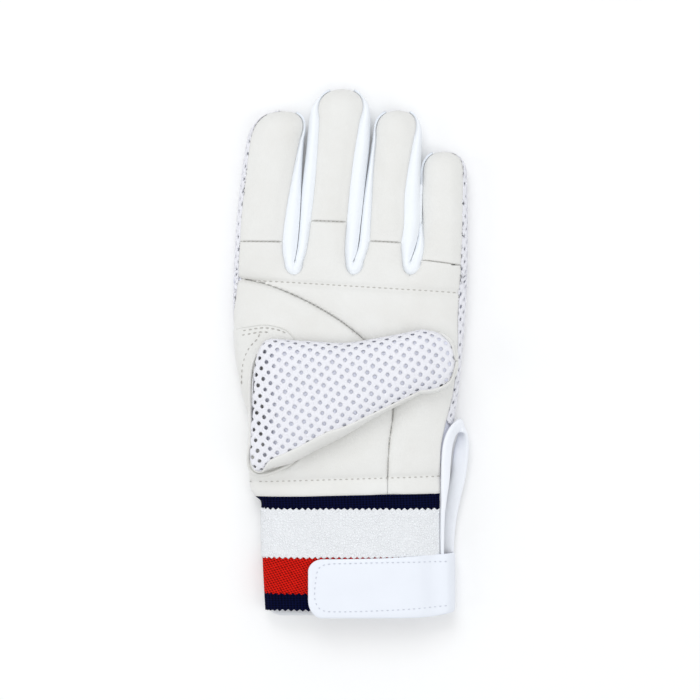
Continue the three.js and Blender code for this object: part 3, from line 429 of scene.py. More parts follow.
class Value:
    """A number inside a material. Expressions on it add Math nodes."""

    def __init__(self, maker: "Maker", socket: Any) -> None:
        """Wraps a socket of the maker's material."""
        self.maker = maker
        self.socket = socket

    def math(self, operation: str, *values: Any) -> "Value":
        """Adds one Math node.

        Args:
            operation: the node's operation.
            values: its inputs in order, each a Value or a number.

        Returns:
            The node's result.
        """
        node = self.maker.node("Math", {"operation": operation}, dict(enumerate(values)))
        return Value(self.maker, node.outputs[0])

    def __add__(self, other: Any) -> "Value":
        """Returns the sum."""
        return self.math("ADD", self, other)

    __radd__ = __add__

    def __sub__(self, other: Any) -> "Value":
        """Returns this less the other."""
        return self.math("SUBTRACT", self, other)

    def __mul__(self, other: Any) -> "Value":
        """Returns the product."""
        return self.math("MULTIPLY", self, other)

    def smallest(self, other: Any) -> "Value":
        """Returns the smaller of this and the other."""
        return self.math("MINIMUM", self, other)

    def held(self) -> "Value":
        """Returns this, held between 0 and 1."""
        return self.math("MAXIMUM", self, 0.0).smallest(1.0)

    def wave(self, pitch: float) -> "Value":
        """Returns a sine wave of the given pitch."""
        return self.math("SINE", self * (2 * math.pi / pitch))


class Maker:
    """Makes one material: any node comes from its one method."""

    def __init__(self, name: str, roughness: float, sheen: float = 0.0) -> None:
        """Starts a material with its shader.

        Args:
            name: the material's name.
            roughness: how matt it is.
            sheen: how much soft fibre light it has at its edges.
        """
        self.material = bpy.data.materials.new(name)
        self.material.use_nodes = True
        self.tree = self.material.node_tree
        self.shader = self.tree.nodes["Principled BSDF"]
        self.shader.inputs["Roughness"].default_value = roughness
        self.shader.inputs["Sheen Weight"].default_value = sheen
        self.shader.inputs["Sheen Roughness"].default_value = 0.4

    def node(self, kind: str, settings: dict[str, Any], inputs: dict[Any, Any]) -> Any:
        """Adds a node.

        Args:
            kind: the node's type, without ShaderNode.
            settings: its settings, set first.
            inputs: a value or a link for each socket, by name or number.

        Returns:
            The node.
        """
        made = self.tree.nodes.new("ShaderNode" + kind)
        for key, setting in settings.items():
            setattr(made, key, setting)
        for key, value in inputs.items():
            socket = made.inputs[key]
            if isinstance(value, Value):
                self.tree.links.new(value.socket, socket)
            elif isinstance(value, bpy.types.NodeSocket):
                self.tree.links.new(value, socket)
            elif isinstance(value, tuple) and socket.type == "RGBA":
                socket.default_value = (*value, 1)
            else:
                socket.default_value = value
        return made

    def scaled(self, vector: Any, scale: float) -> Any:
        """Returns a vector times a number."""
        inputs = {0: vector, "Scale": scale}
        return self.node("VectorMath", {"operation": "SCALE"}, inputs).outputs[0]

    def place(self) -> Any:
        """Returns the place on the object as a vector, in millimetres."""
        return self.scaled(self.node("TexCoord", {}, {}).outputs["Object"], PER_METRE)

    def cloth_place(self) -> Any:
        """Returns the place along the piece's own cloth, in millimetres."""
        return self.scaled(self.node("UVMap", {"uv_map": "cloth"}, {}).outputs[0], CLOTH_UNIT)

    def parts(self, vector: Any) -> tuple[Value, Value, Value]:
        """Returns a vector's three numbers."""
        split = self.node("SeparateXYZ", {}, {0: vector})
        return tuple(Value(self, socket) for socket in split.outputs)

    def noise(self, vector: Any, scale: float, detail: float) -> Value:
        """Returns noise from 0 to 1, its scale in grains for each millimetre."""
        inputs = {"Vector": vector, "Scale": scale, "Detail": detail, "Roughness": 0.55}
        return Value(self, self.node("TexNoise", {}, inputs).outputs[0])

    def cells(self, vector: Any, scale: float) -> Value:
        """Returns the distance to the edges of scattered cells, as in a hide's grain."""
        inputs = {"Vector": vector, "Scale": scale}
        made = self.node("TexVoronoi", {"feature": "DISTANCE_TO_EDGE"}, inputs)
        return Value(self, made.outputs[0])

    def blend(self, share: Any, a: Any, b: Any) -> Any:
        """Returns the colour a at share 0 and b at share 1."""
        settings = {"data_type": "RGBA", "clamp_factor": True}
        return self.node("Mix", settings, {0: share, 6: a, 7: b}).outputs[2]

    def finish(self, colour: Any, height: Value, strength: float, reach: float) -> Any:
        """Links the colour and the relief.

        Args:
            colour: a link to the colour.
            height: the relief from 0 to 1.
            strength: how strongly it shows.
            reach: the depth of the relief in millimetres.

        Returns:
            The material.
        """
        self.tree.links.new(colour, self.shader.inputs["Base Color"])
        inputs = {"Strength": strength, "Distance": reach * MM, "Height": height}
        bump = self.node("Bump", {}, inputs)
        self.tree.links.new(bump.outputs[0], self.shader.inputs["Normal"])
        return self.material

    def roughen(self, value: Value) -> None:
        """Links the roughness."""
        self.tree.links.new(value.socket, self.shader.inputs["Roughness"])


def linear(red: int, green: int, blue: int) -> tuple[float, float, float]:
    """Returns a colour given in screen numbers as the light it sends back, by the sRGB curve."""
    shares = np.array([red, green, blue]) / 255
    curve = ((shares + 0.055) / 1.055) ** 2.4
    return tuple(np.where(shares < 0.04045, shares / 12.92, curve).tolist())


def dimmed(colour: tuple[float, ...], share: float) -> tuple[float, ...]:
    """Returns a colour with only a share of its light."""
    return tuple(share * each for each in colour)


@dataclass(frozen=True)
class Leather:
    """Soft cream sheep leather: fine grain, small creases and cloudy tone."""

    name: str = "cream_leather"
    colour: tuple[int, int, int] = (236, 236, 234)
    worn: tuple[int, int, int] = (228, 227, 223)

    def make(self) -> Any:
        """Builds the material: cells and noise for the grain, long noise for creases and tone."""
        maker = Maker(self.name, 0.58, 0.08)
        where = maker.place()
        grain = maker.cells(where, 1.15)
        fine = maker.noise(where, 2.6, 4)
        cloud = maker.noise(where, 0.045, 4)
        crease = maker.noise(where, 0.16, 6)
        tone = (cloud * 1.5 - 0.45 + crease * 0.25).held()
        colour = maker.blend(tone, linear(*self.worn), linear(*self.colour))
        maker.roughen(0.5 + fine * 0.16)
        height = grain.smallest(0.18) * 1.4 + fine * 0.28 + crease * 1.5
        return maker.finish(colour, height, 0.5, 0.32)


@dataclass(frozen=True)
class SmoothCloth:
    """Smooth white cloth with a close weave, as on the side strips, tape and wrist panel."""

    name: str
    colour: tuple[int, int, int]
    pitch: float = 0.5
    roughness: float = 0.6
    sheen: float = 0.25

    def make(self) -> Any:
        """Builds the material: two crossed waves for the weave and soft noise for its folds."""
        maker = Maker(self.name, self.roughness, self.sheen)
        along, across, _ = maker.parts(maker.cloth_place())
        weave = along.wave(self.pitch) * across.wave(self.pitch)
        soft = maker.noise(maker.place(), 0.12, 3)
        shade = maker.noise(maker.place(), 1.3, 2)
        light = linear(*self.colour)
        colour = maker.blend((weave * 0.25 + shade * 0.8).held(), dimmed(light, 0.96), light)
        return maker.finish(colour, weave * 0.12 + soft * 2.2 + shade * 0.2, 0.45, 0.3)


@dataclass(frozen=True)
class OpenKnit:
    """The yarn of the open-mesh cloth, with knitted rows."""

    name: str = "open_mesh_cloth"
    colour: tuple[int, int, int] = (249, 249, 255)
    pitch: float = 0.42

    def make(self) -> Any:
        """Builds the material: slanting fine waves for the knitted yarn, which paint shade in the dips
        between its rows, and noise for its fibre, which gives random tone.
        """
        maker = Maker(self.name, 0.75, 0.15)
        along, across, _ = maker.parts(maker.cloth_place())
        yarn = (along + across * 0.6).wave(self.pitch)
        fibre = maker.noise(maker.place(), 3.2, 3)
        light = linear(*self.colour)
        # crown: painted shade in the yarn rows' dips and light on their crowns, partly random fibre tone
        crown = (yarn * 0.22 + fibre * 0.9 + 0.1).held()
        colour = maker.blend(crown, dimmed(light, 0.9), light)
        return maker.finish(colour, yarn * 0.4 + fibre * 0.5, 0.5, 0.22)


@dataclass(frozen=True)
class Knit:
    """Ribbed knit in one colour: slanting or upright ribs of small stitches."""

    name: str
    colour: tuple[int, int, int]
    slant: float
    rib: float = 1.4
    stitch: float = 1.1

    def make(self) -> Any:
        """Builds the material: ribs crossed by stitches, with painted highlight on their crowns and painted
        shade in the dips between them, and random tone from fibre noise.
        """
        maker = Maker(self.name, 0.9)
        maker.shader.inputs["Specular IOR Level"].default_value = 0.04
        x, y, _ = maker.parts(maker.place())
        rib = (x + y * self.slant).wave(self.rib)
        loop = (y - x * self.slant * 0.5).wave(self.stitch)
        fibre = maker.noise(maker.place(), 1.1, 4)
        # crown: painted highlight on the ribs' and stitches' crowns and painted shade in their dips, plus
        # random fibre tone
        crown = (rib * 0.45 + loop * 0.45 + fibre * 1.6 - 0.22).held()
        light = linear(*self.colour)
        # the dark end, about a quarter of the colour, is painted shade between the ribs
        colour = maker.blend(crown, dimmed(light, 0.27), light)
        return maker.finish(colour, rib * 0.4 + loop * 0.4 + fibre * 0.8, 0.8, 0.5)


@dataclass(frozen=True)
class Towelling:
    """White towelling: a close pile of small loops."""

    name: str = "white_towelling"
    colour: tuple[int, int, int] = (250, 252, 255)

    def make(self) -> Any:
        """Builds the material: scattered cells for the loops, with painted shade between them and random
        tone from noise.
        """
        maker = Maker(self.name, 0.9, 0.1)
        where = maker.place()
        loops = maker.cells(where, 0.9)
        fibre = maker.noise(where, 2.2, 4)
        patches = maker.noise(where, 0.5, 3)
        # depth: painted shade between the loops, low near the cells' edges, with random tone from the fibre
        # and patch noise
        depth = (loops * 1.5 + fibre * 0.8 + patches * 0.2).held()
        light = linear(*self.colour)
        colour = maker.blend(depth, dimmed(light, 0.82), light)
        return maker.finish(colour, loops * 1.8 + fibre * 0.7, 0.75, 0.6)


@dataclass(frozen=True)
class Satin:
    """The strap's smooth coated face: faint grain and a soft shine."""

    name: str = "strap_face"
    colour: tuple[int, int, int] = (237, 241, 249)

    def make(self) -> Any:
        """Builds the material: fine grain under a thin coat."""
        maker = Maker(self.name, 0.42)
        where = maker.place()
        grain = maker.cells(where, 1.9)
        soft = maker.noise(where, 0.1, 3)
        fine = maker.noise(where, 2.5, 3)
        light = linear(*self.colour)
        colour = maker.blend(soft, dimmed(light, 0.95), light)
        maker.roughen(0.36 + fine * 0.12)
        maker.shader.inputs["Coat Weight"].default_value = 0.12
        return maker.finish(colour, grain * 0.5 + soft * 1.2, 0.3, 0.2)


@dataclass(frozen=True)
class Thread:
    """Sewing thread: two twisted strands."""

    name: str
    colour: tuple[int, int, int]
    twist: float = 0.5

    def make(self) -> Any:
        """Builds the material: slanting waves along the thread, with painted shade in the grooves between
        the twisted strands.
        """
        maker = Maker(self.name, 0.6, 0.3)
        along, across, _ = maker.parts(maker.cloth_place())
        twist = (along + across * 0.8).wave(self.twist)
        light = linear(*self.colour)
        # the darker end of the blend is painted shade between the strands
        colour = maker.blend(twist * 0.4 + 0.6, dimmed(light, 0.7), light)
        return maker.finish(colour, twist, 0.5, 0.12)


def placed(name: str, data: Any) -> Any:
    """Returns a new object with the mesh, light or camera, linked to the scene."""
    made = bpy.data.objects.new(name, data)
    bpy.context.scene.collection.objects.link(made)
    return made


class Surface:
    """A surface gathered from grids of points, in millimetres, and merged where they meet."""

    def __init__(self) -> None:
        """Starts with no grids."""
        self.points: list[Array] = []
        self.quads: list[Array] = []
        self.cloth: list[Array] = []
        self.count = 0

    def grid(self, points: Array, keep: Array | None = None, cloth: Array | None = None) -> "Surface":
        """Adds a grid, whose faces point along columns x rows.

        Args:
            points: places in rows and columns.
            keep: which cells are kept, or None for all.
            cloth: places along the cloth in millimetres, or None for the lengths along both ways.

        Returns:
            This surface.
        """
        rows, columns, _ = points.shape
        if cloth is None:
            down, over = lengths(points.swapaxes(0, 1)).mean(0), lengths(points).mean(0)
            cloth = np.stack(np.meshgrid(down, over, indexing="ij"), -1)
        index = np.arange(rows * columns).reshape(rows, columns)
        quads = np.stack([index[:-1, :-1], index[:-1, 1:], index[1:, 1:], index[1:, :-1]], -1)
        kept = quads.reshape(-1, 4) if keep is None else quads[keep]
        return self.faces(points.reshape(-1, 3), kept, cloth.reshape(-1, 2))

    def faces(self, points: Array, quads: Array, cloth: Array) -> "Surface":
        """Adds points and faces of four corners.

        Args:
            points: the places.
            quads: each face's corners, counted within these points.
            cloth: each point's place along the cloth.

        Returns:
            This surface.
        """
        self.quads.append(quads + self.count)
        self.points.append(points)
        self.cloth.append(cloth)
        self.count += len(points)
        return self

    def rings(self, points: Array) -> "Surface":
        """Adds tubes made of closed rings, and turns their faces outwards.

        Args:
            points: places as tubes, rings, corners of a ring and three numbers.

        Returns:
            This surface.
        """
        tubes, count, corners, _ = points.shape
        index = np.arange(tubes * count * corners).reshape(tubes, count, corners)
        after = np.roll(index, -1, axis=2)
        quads = np.stack([index[:, :-1], after[:, :-1], after[:, 1:], index[:, 1:]], -1)
        flat = points.reshape(-1, 3)
        first = flat[quads[0].reshape(-1, 4)]
        normal = np.cross(first[:, 2] - first[:, 0], first[:, 3] - first[:, 1])
        ring_middle = points[0].mean(1)
        inner = (ring_middle[:-1] + ring_middle[1:]) / 2
        outward = first.mean(1) - np.repeat(inner, corners, axis=0)
        if (normal * outward).sum() < 0:
            quads = quads[..., ::-1]
        u = lengths(points.mean(2))[:, :, None]
        girth = np.linalg.norm(np.roll(points, -1, axis=2) - points, axis=-1)
        v = np.cumsum(girth, 2) - girth
        cloth = np.stack([u + 0 * v, v], -1).reshape(-1, 2)
        return self.faces(flat, quads.reshape(-1, 4), cloth)

    def merged(self, merge: float) -> tuple[Array, Array, Array, Array]:
        """Merges points that lie together; faces that lost a corner keep three or are dropped.

        Args:
            merge: how near points are that become one.

        Returns:
            The points, the faces' corners, each face's first corner, and the corners' places
            along the cloth.
        """
        points, quads = np.concatenate(self.points), np.concatenate(self.quads)
        _, first, where = np.unique(
            np.round(points / merge).astype(np.int64), axis=0, return_index=True, return_inverse=True
        )
        where = where.reshape(-1)
        corners = where[quads]
        short = (corners == np.roll(corners, 1, axis=1)).any(1) | (corners[:, 0] == corners[:, 2]) | (
            corners[:, 1] == corners[:, 3]
        )
        cut = np.concatenate([quads[short][:, [0, 1, 2]], quads[short][:, [0, 2, 3]]])
        cut = cut[[len(set(row)) == 3 for row in where[cut].tolist()]] if len(cut) else cut
        whole = quads[~short]
        loops = np.concatenate([whole.reshape(-1), cut.reshape(-1)])
        used, compact = np.unique(where[loops], return_inverse=True)
        starts = np.concatenate([np.arange(len(whole)) * 4, len(whole) * 4 + np.arange(len(cut)) * 3])
        return points[first[used]], compact.reshape(-1), starts, np.concatenate(self.cloth)[loops]

    def build(
        self, name: str, finish: Any, wall: float = 0.0, smooth: int = 0, merge: float = 0.002,
    ) -> Any:
        """Makes the object, its points and faces in one mesh.

        Args:
            name: the piece's name.
            finish: its material.
            wall: how thick a wall it gets inwards, or 0 for none.
            smooth: how many times it is subdivided.
            merge: how near points are that become one.

        Returns:
            The object.
        """
        points, corners, starts, cloth = self.merged(merge)
        mesh = bpy.data.meshes.new(name)
        mesh.vertices.add(len(points))
        mesh.vertices.foreach_set("co", (points * MM).astype(np.float32).ravel())
        mesh.loops.add(len(corners))
        mesh.loops.foreach_set("vertex_index", corners.astype(np.int32))
        mesh.polygons.add(len(starts))
        mesh.polygons.foreach_set("loop_start", starts.astype(np.int32))
        mesh.update(calc_edges=True)
        layer = mesh.uv_layers.new(name="cloth")
        layer.data.foreach_set("uv", (cloth / CLOTH_UNIT).astype(np.float32).ravel())
        mesh.validate()
        mesh.shade_smooth()
        mesh.materials.append(finish)
        made = placed(name, mesh)
        if smooth:
            finer = made.modifiers.new("smooth", "SUBSURF")
            finer.levels = finer.render_levels = smooth
        if wall:
            thick = made.modifiers.new("wall", "SOLIDIFY")
            thick.thickness, thick.offset = wall * MM, -1
        return made


@dataclass(frozen=True)
class Cut:
    """A sheet before it is sewn in: the rectangle that it is cut from and its area, in mm."""

    width: float
    length: float
    area: float
    rests_on: str = "palm_panel"

    def declare(self, made: Any) -> None:
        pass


CUTS = {
    "index_middle_strip": Cut(20, 176, 2830),
    "middle_ring_strip": Cut(20, 176, 2830),
    "ring_little_strip": Cut(18, 148, 2370),
    "mesh_back_cloth": Cut(130, 184, 16970),
    "outer_side_lining": Cut(20, 280, 2500),
    "thumb_mesh_cloth": Cut(78, 104, 5000),
    "thumb_lining": Cut(68, 96, 3660),
    "thumb_leather_side": Cut(66, 100, 3950),
    "thumb_root_patch": Cut(38, 64, 1030),
    "elastic_lower_navy": Cut(104, 10, 865),
    "elastic_red": Cut(104, 16.8, 1712),
    "elastic_towelling": Cut(106, 23.8, 2518),
    "elastic_upper_navy": Cut(107, 10, 780),
    "wrist_back_cloth": Cut(82, 57, 4500),
    "slit_binding": Cut(10, 126, 788),
    "closing_strap": Cut(30, 122, 3194),
}


def settle(made: Any, node: str | Sequence[str]) -> Any:
    """Lets a piece ride on the glove and stand for its plain solid.

    Args:
        made: the piece.
        node: the solid or solids that it replaces, or an empty list.

    Returns:
        The piece.
    """
    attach(made, "root")
    nodes = [node] if isinstance(node, str) else list(node)
    if nodes:
        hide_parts(*nodes)
    if made.name in CUTS:
        CUTS[made.name].declare(made)
    log.info("%s: %d faces", made.name, len(made.data.polygons))
    return made


def sunk(grid: Array, depth: Any) -> Array:
    """Moves a grid inwards along its faces' direction, the cross product of its two ways.

    Args:
        grid: places in rows and columns, whose faces point outwards.
        depth: how far each place moves.

    Returns:
        The moved places.
    """
    facing = unit(np.cross(np.gradient(grid, axis=1), np.gradient(grid, axis=0)))
    return grid - facing * np.broadcast_to(depth, grid.shape[:2])[..., None]


@dataclass(frozen=True)
class Crease:
    """A valley, or with a minus depth a ridge, along a line on the leather."""

    line: tuple[tuple[float, float], ...]
    depth: float
    width: float

    def drop(self, x: Array, y: Array) -> Array:
        """Returns how far the leather drops: a bell curve of the distance to the line."""
        return self.depth * bell(line_distance(self.line, x, y)[0], self.width)


@dataclass
class Palm:
    """The padded palm: one skin with a tongue into each finger's root, split at the thumb's seam."""

    wall: float = 2.5
    step: float = 0.85
    fill: float = 0.5
    degree: float = 0.17
    edge_gap: float = 0.05
    swell: float = 0.5
    unevenness: float = 0.22
    hole_centre: tuple[float, float] = (-30, -25)
    hole_half: tuple[float, float] = (8, 16)
    seam: tuple[tuple[float, float], ...] = (
        (-62, 35.2), (-46.6, 33.4), (-35.3, 30.3), (-18.4, 22.8), (-2.5, 13.1), (9.5, 2.5),
        (17.0, -10), (19.2, -24.9), (17.4, -42), (16.8, -58), (16.7, -72),
    )
    lines: tuple[tuple[float, float], ...] = (
        (-66.0, -63.9), (-62, -59.5), (-58.4, -55.4), (-54.6, -51.6), (-42, -40), (-20, -20),
        (4, 4), (17, 13), (29.6, 23.8), (33.4, 27.3), (35.6, 35.6),
    )
    creases: tuple[Crease, ...] = (
        Crease(((-42.2, -47.6), (-36.8, -51.6), (-31.0, -51.0), (-25.2, -47.9)), 1.1, 0.8),
        Crease(((-41.0, -53.6), (-35.0, -53.0), (-28.5, -50.6), (-24.0, -47.4)), 1.2, 0.7),
        Crease(((-44.9, -56.0), (-34.8, -56.2), (-27.4, -53.6), (-23.7, -48.1)), -0.5, 1.6),
        Crease(((25.0, 27.5), (24.2, 20.0), (26.5, 9.0)), 0.25, 2.6),
        Crease(((33.0, -2.0), (36.5, -18.0), (37.5, -34.0)), 0.22, 3.2),
        Crease(((-4.0, 27.0), (2.0, 17.5), (12.0, 8.0)), 0.2, 2.4),
        Crease(((-6.0, -47.0), (4.0, -44.0), (12.0, -44.5)), 0.22, 2.6),
    )

    def seam_line(self) -> Array:
        """Returns the seam beside the ball of the thumb, a smooth line that runs past the hem."""
        return spline([(x, y, 0) for x, y in self.seam], 60)[:, :2]

    def pad_edge(self, k: int, side: int, y: Array) -> Array:
        """The leather's edge below a web, which opens as a quarter circle above the U.

        Args:
            k: the finger's number.
            side: -1 for its left side, 1 for its right.
            y: along the glove.

        Returns:
            The edge's place across the glove.
        """
        web = FORM.webs[k - 1] if side < 0 else FORM.webs[k]
        own = FINGERS[k].pad_side(side, np.maximum(y, 41))
        opened = np.clip((y - FORM.pad_u) / FORM.pad_opening, 0, 1)
        return mix(web, own, quarter(opened))

    def u_line(self, k: int) -> Array:
        """Returns the U-shaped edge of the leather under a web."""
        y = mix(FORM.pad_u, 60.0, np.linspace(1, 0, 24) ** 1.6)
        left, right = self.pad_edge(k, 1, y), self.pad_edge(k + 1, -1, y)
        return np.concatenate([np.stack([left, y], -1), np.stack([right, y], -1)[::-1]])

    def relief(self, x: Array, y: Array) -> Array:
        """How far seams and creases draw the leather in, and how far the padding swells.

        Args:
            x: across the glove.
            y: along the glove.

        Returns:
            The change in height: bell-shaped valleys, turned edges and slow swells.
        """
        knuckle = np.abs(y - FORM.across(FORM.knuckle, x))
        lower = np.abs(y - FORM.across(FORM.lower, x))
        seam = line_distance(self.seam_line(), x, y)[0]
        drop = 0.75 * bell(knuckle, 0.8) + 0.7 * bell(lower, 0.8)
        drop += (1.0 * bell(seam, 0.75) + 0.75 * bell(seam, 2.4)) * smoothstep(-59, -55, y)
        for k in range(3):
            drop += edge_roll(line_distance(self.u_line(k), x, y)[0], 1.5, 0.9)
        drop += edge_roll(y - FORM.across(FORM.hem, x), 2.2, 1.5)
        for crease in self.creases:
            drop += crease.drop(x, y)
        line = np.minimum(knuckle, lower)
        swell = self.swell * smoothstep(2, 9, np.minimum(line, seam))
        slow = np.sin(x / 7.3 + 1.1 * np.sin(y / 11.0)) * np.sin(y / 9.1 + 0.8 * np.sin(x / 13.0))
        return swell + self.unevenness * slow * smoothstep(1, 6, line) - drop

    def height(self, x: Array, y: Array) -> Array:
        """Returns the leather's height, the form's top with the relief."""
        return FORM.top(x, y) + self.relief(x, y)

    def wrapped(self, side: int, y: Array, count: int, depth: float) -> tuple[Array, Array]:
        """The leather that wraps round one outer side, with its turned edge.

        Args:
            side: -1 for the thumb side, 1 for the little-finger side.
            y: along the glove.
            count: how many places lie round the side.
            depth: how far the turned edge drops.

        Returns:
            A grid from the edge up, and where the palm's top begins across the glove.
        """
        edge, up = FORM.leather_edge(side, y), np.linspace(0, 1, count)[None, :-1]
        grid = FORM.on_side(side, y, mix(edge, SIDE_TOP, up))
        grid[..., 2] -= edge_roll(up * (SIDE_TOP - edge) * self.degree, 1.4, depth)
        return grid, FORM.on_side(side, y, SIDE_TOP)[..., 0]

    def lane(self, k: int) -> Array:
        """One finger's part of the palm and its tongue.

        Args:
            k: the finger's number.

        Returns:
            A grid of places, from the hem to the seam at the finger's root.
        """
        finger = FINGERS[k]
        means = np.array([(left + right) / 2 for left, right in self.lines])
        rows = np.linspace(means[0], means[-1], int((means[-1] - means[0]) / self.step))[:, None]
        low = np.interp(rows, means, [line[0] for line in self.lines])
        high = np.interp(rows, means, [line[1] for line in self.lines])
        share = np.concatenate([np.zeros(len(rows)), np.linspace(0, 1, 28)[1:] ** 1.3])[:, None]
        low, high = (np.concatenate([each, np.zeros((27, 1))]) for each in (low, high))

        def row_y(x: Array) -> Array:
            """Returns the rows' heights, slanting lines below and towards the seam above."""
            tongue = mix(FORM.pad_u, finger.seam_at(x) - GAP / 2, share)
            return np.where(share > 0, tongue, FORM.across((low, high), x))

        y_mid = row_y(finger.centre(45.0))
        parts: list[Array] = []
        if k == 0:
            side, start = self.wrapped(-1, row_y(-50.0), 20, 0.5)
            parts.append(side)
        else:
            start = self.pad_edge(k, -1, y_mid)
        if k == 3:
            side, end = self.wrapped(1, row_y(50.0), 14, 0.7)
        else:
            end = self.pad_edge(k, 1, y_mid)
        x = mix(start, end, np.linspace(0, 1, 34)[None, :])
        y = row_y(x)
        z = FORM.top(x, y, finger if k in (0, 3) else None)
        z = np.where(y > FORM.pad_u - 2, FORM.top(x, y, finger), z)
        parts.append(np.stack([x, y, z], -1))
        if k == 3:
            parts.append(side[:, ::-1])
        grid = np.concatenate(parts, 1)
        grid[..., 2] += self.relief(grid[..., 0], grid[..., 1]) * smoothstep(3, 11, grid[..., 2])
        root = finger.seam_at(grid[..., 0]) - GAP / 2 - grid[..., 1]
        grid[..., 2] -= edge_roll(root, 1.3, 0.55)
        return grid

    def trimmed(self, grid: Array, inside: Array, side: int) -> Array:
        """Moves the corners that both panels share to the seam, so that its edge runs smoothly.

        Args:
            grid: the palm's places.
            inside: which cells belong to the ball of the thumb.
            side: -1 for the palm's edge, 1 for the ball's.

        Returns:
            The places, with a hair's breadth between the two edges.
        """
        held = np.pad(inside.astype(int), 1, mode="edge")
        count = held[:-1, :-1] + held[1:, :-1] + held[:-1, 1:] + held[1:, 1:]
        shared = ((count > 0) & (count < 4))[..., None]
        places = grid[..., :2]
        for _ in range(2):
            step, reach = 0.05, []
            _, here = line_distance(self.seam_line(), places[..., 0], places[..., 1])
            for dx, dy in ((step, 0), (0, step)):
                _, there = line_distance(self.seam_line(), places[..., 0] + dx, places[..., 1] + dy)
                reach.append((there - here) / step)
            moved = unit(np.stack(reach, -1)) * (here[..., None] + side * self.edge_gap)
            places = np.where(shared, places - moved, places)
        return np.concatenate([places, grid[..., 2:]], -1)

    def build(self, finish: Any) -> list[Any]:
        """Makes the palm panel and the panel over the ball of the thumb.

        Args:
            finish: the leather.

        Returns:
            Both panels.
        """
        lanes = [self.lane(k) for k in range(4)]
        borders = np.cumsum([lane.shape[1] for lane in lanes])[:-1]
        grid = np.concatenate(lanes, 1)
        middle = (grid[:-1, :-1] + grid[1:, 1:]) / 2
        signed = line_distance(self.seam_line(), middle[..., 0], middle[..., 1])[1]
        inside = (signed < 0) & (middle[..., 0] < 20)
        inside[:, borders - 1] = inside[:, borders - 2]
        hole = (np.abs(middle[..., :2] - self.hole_centre) < self.hole_half).all(-1)
        kept = np.ones_like(inside)
        kept[:, borders - 1] = False
        cloth = grid[..., [1, 0]]
        palm = Surface().grid(self.trimmed(grid, inside, -1), ~inside & kept, cloth)
        ball = Surface().grid(self.trimmed(grid, inside, 1), inside & ~hole & kept, cloth)
        made = []
        for surface, name, node in (
            (palm, "palm_leather", "palm_panel"), (ball, "thumb_ball_leather", "thenar_panel"),
        ):
            padded = surface.build(name, finish, self.wall)
            made.append(settle(padded, node))
        return made


@dataclass
class FingerFronts:
    """The padded leather on the front of each finger."""

    wall: float = 2.2

    def grid(self, finger: Finger) -> Array:
        """One finger's front, a dome between its leather edges that closes over the tip.

        Args:
            finger: the finger.

        Returns:
            A grid of places from the seam at the root to the end of the tip.
        """
        across = np.linspace(0, 1, 40)[None, :]
        share = mix(across, (1 - np.cos(np.pi * across)) / 2, 0.6)
        seam_x = mix(finger.pad_side(-1, finger.seam[0]), finger.pad_side(1, finger.seam[0]), share)
        start = finger.seam_at(seam_x) + GAP / 2
        rows = mix(start, finger.round, np.linspace(0, 1, 62)[:, None])
        angles = np.radians(np.linspace(0, 86, 22)[1:, None])
        tips = mix(finger.round, finger.tip[1], np.sin(angles)) + 0 * share
        y = np.concatenate([rows, tips])
        x = mix(finger.pad_side(-1, y), finger.pad_side(1, y), share)
        z = FORM.top(x, y, finger)
        side = np.minimum(x - finger.pad_side(-1, y), finger.pad_side(1, y) - x)
        z -= edge_roll(side, 1.7, 0.75) * finger.depth(y)
        z -= edge_roll(y - (finger.seam_at(x) + GAP / 2), 1.4, 0.3)
        z += 0.35 * smoothstep(1.5, 6, np.minimum(side, y - start))
        z += 0.16 * np.sin(x / 3.1 + y / 8.0) * np.sin(y / 6.3 - x / 9.0) * smoothstep(1, 4, side)
        end = np.stack([x[-1], y[-1] + 0.2, np.full_like(x[-1], FORM.side_level + GAP / 2)], -1)
        return np.concatenate([np.stack([x, y, z], -1), end[None]])

    def build(self, finish: Any) -> list[Any]:
        """Makes the four fronts.

        Args:
            finish: the leather.

        Returns:
            The pieces.
        """
        return [
            settle(
                Surface().grid(self.grid(finger)).build(
                    f"{finger.name}_leather", finish, self.wall
                ),
                f"{finger.name}_front",
            )
            for finger in FINGERS
        ]


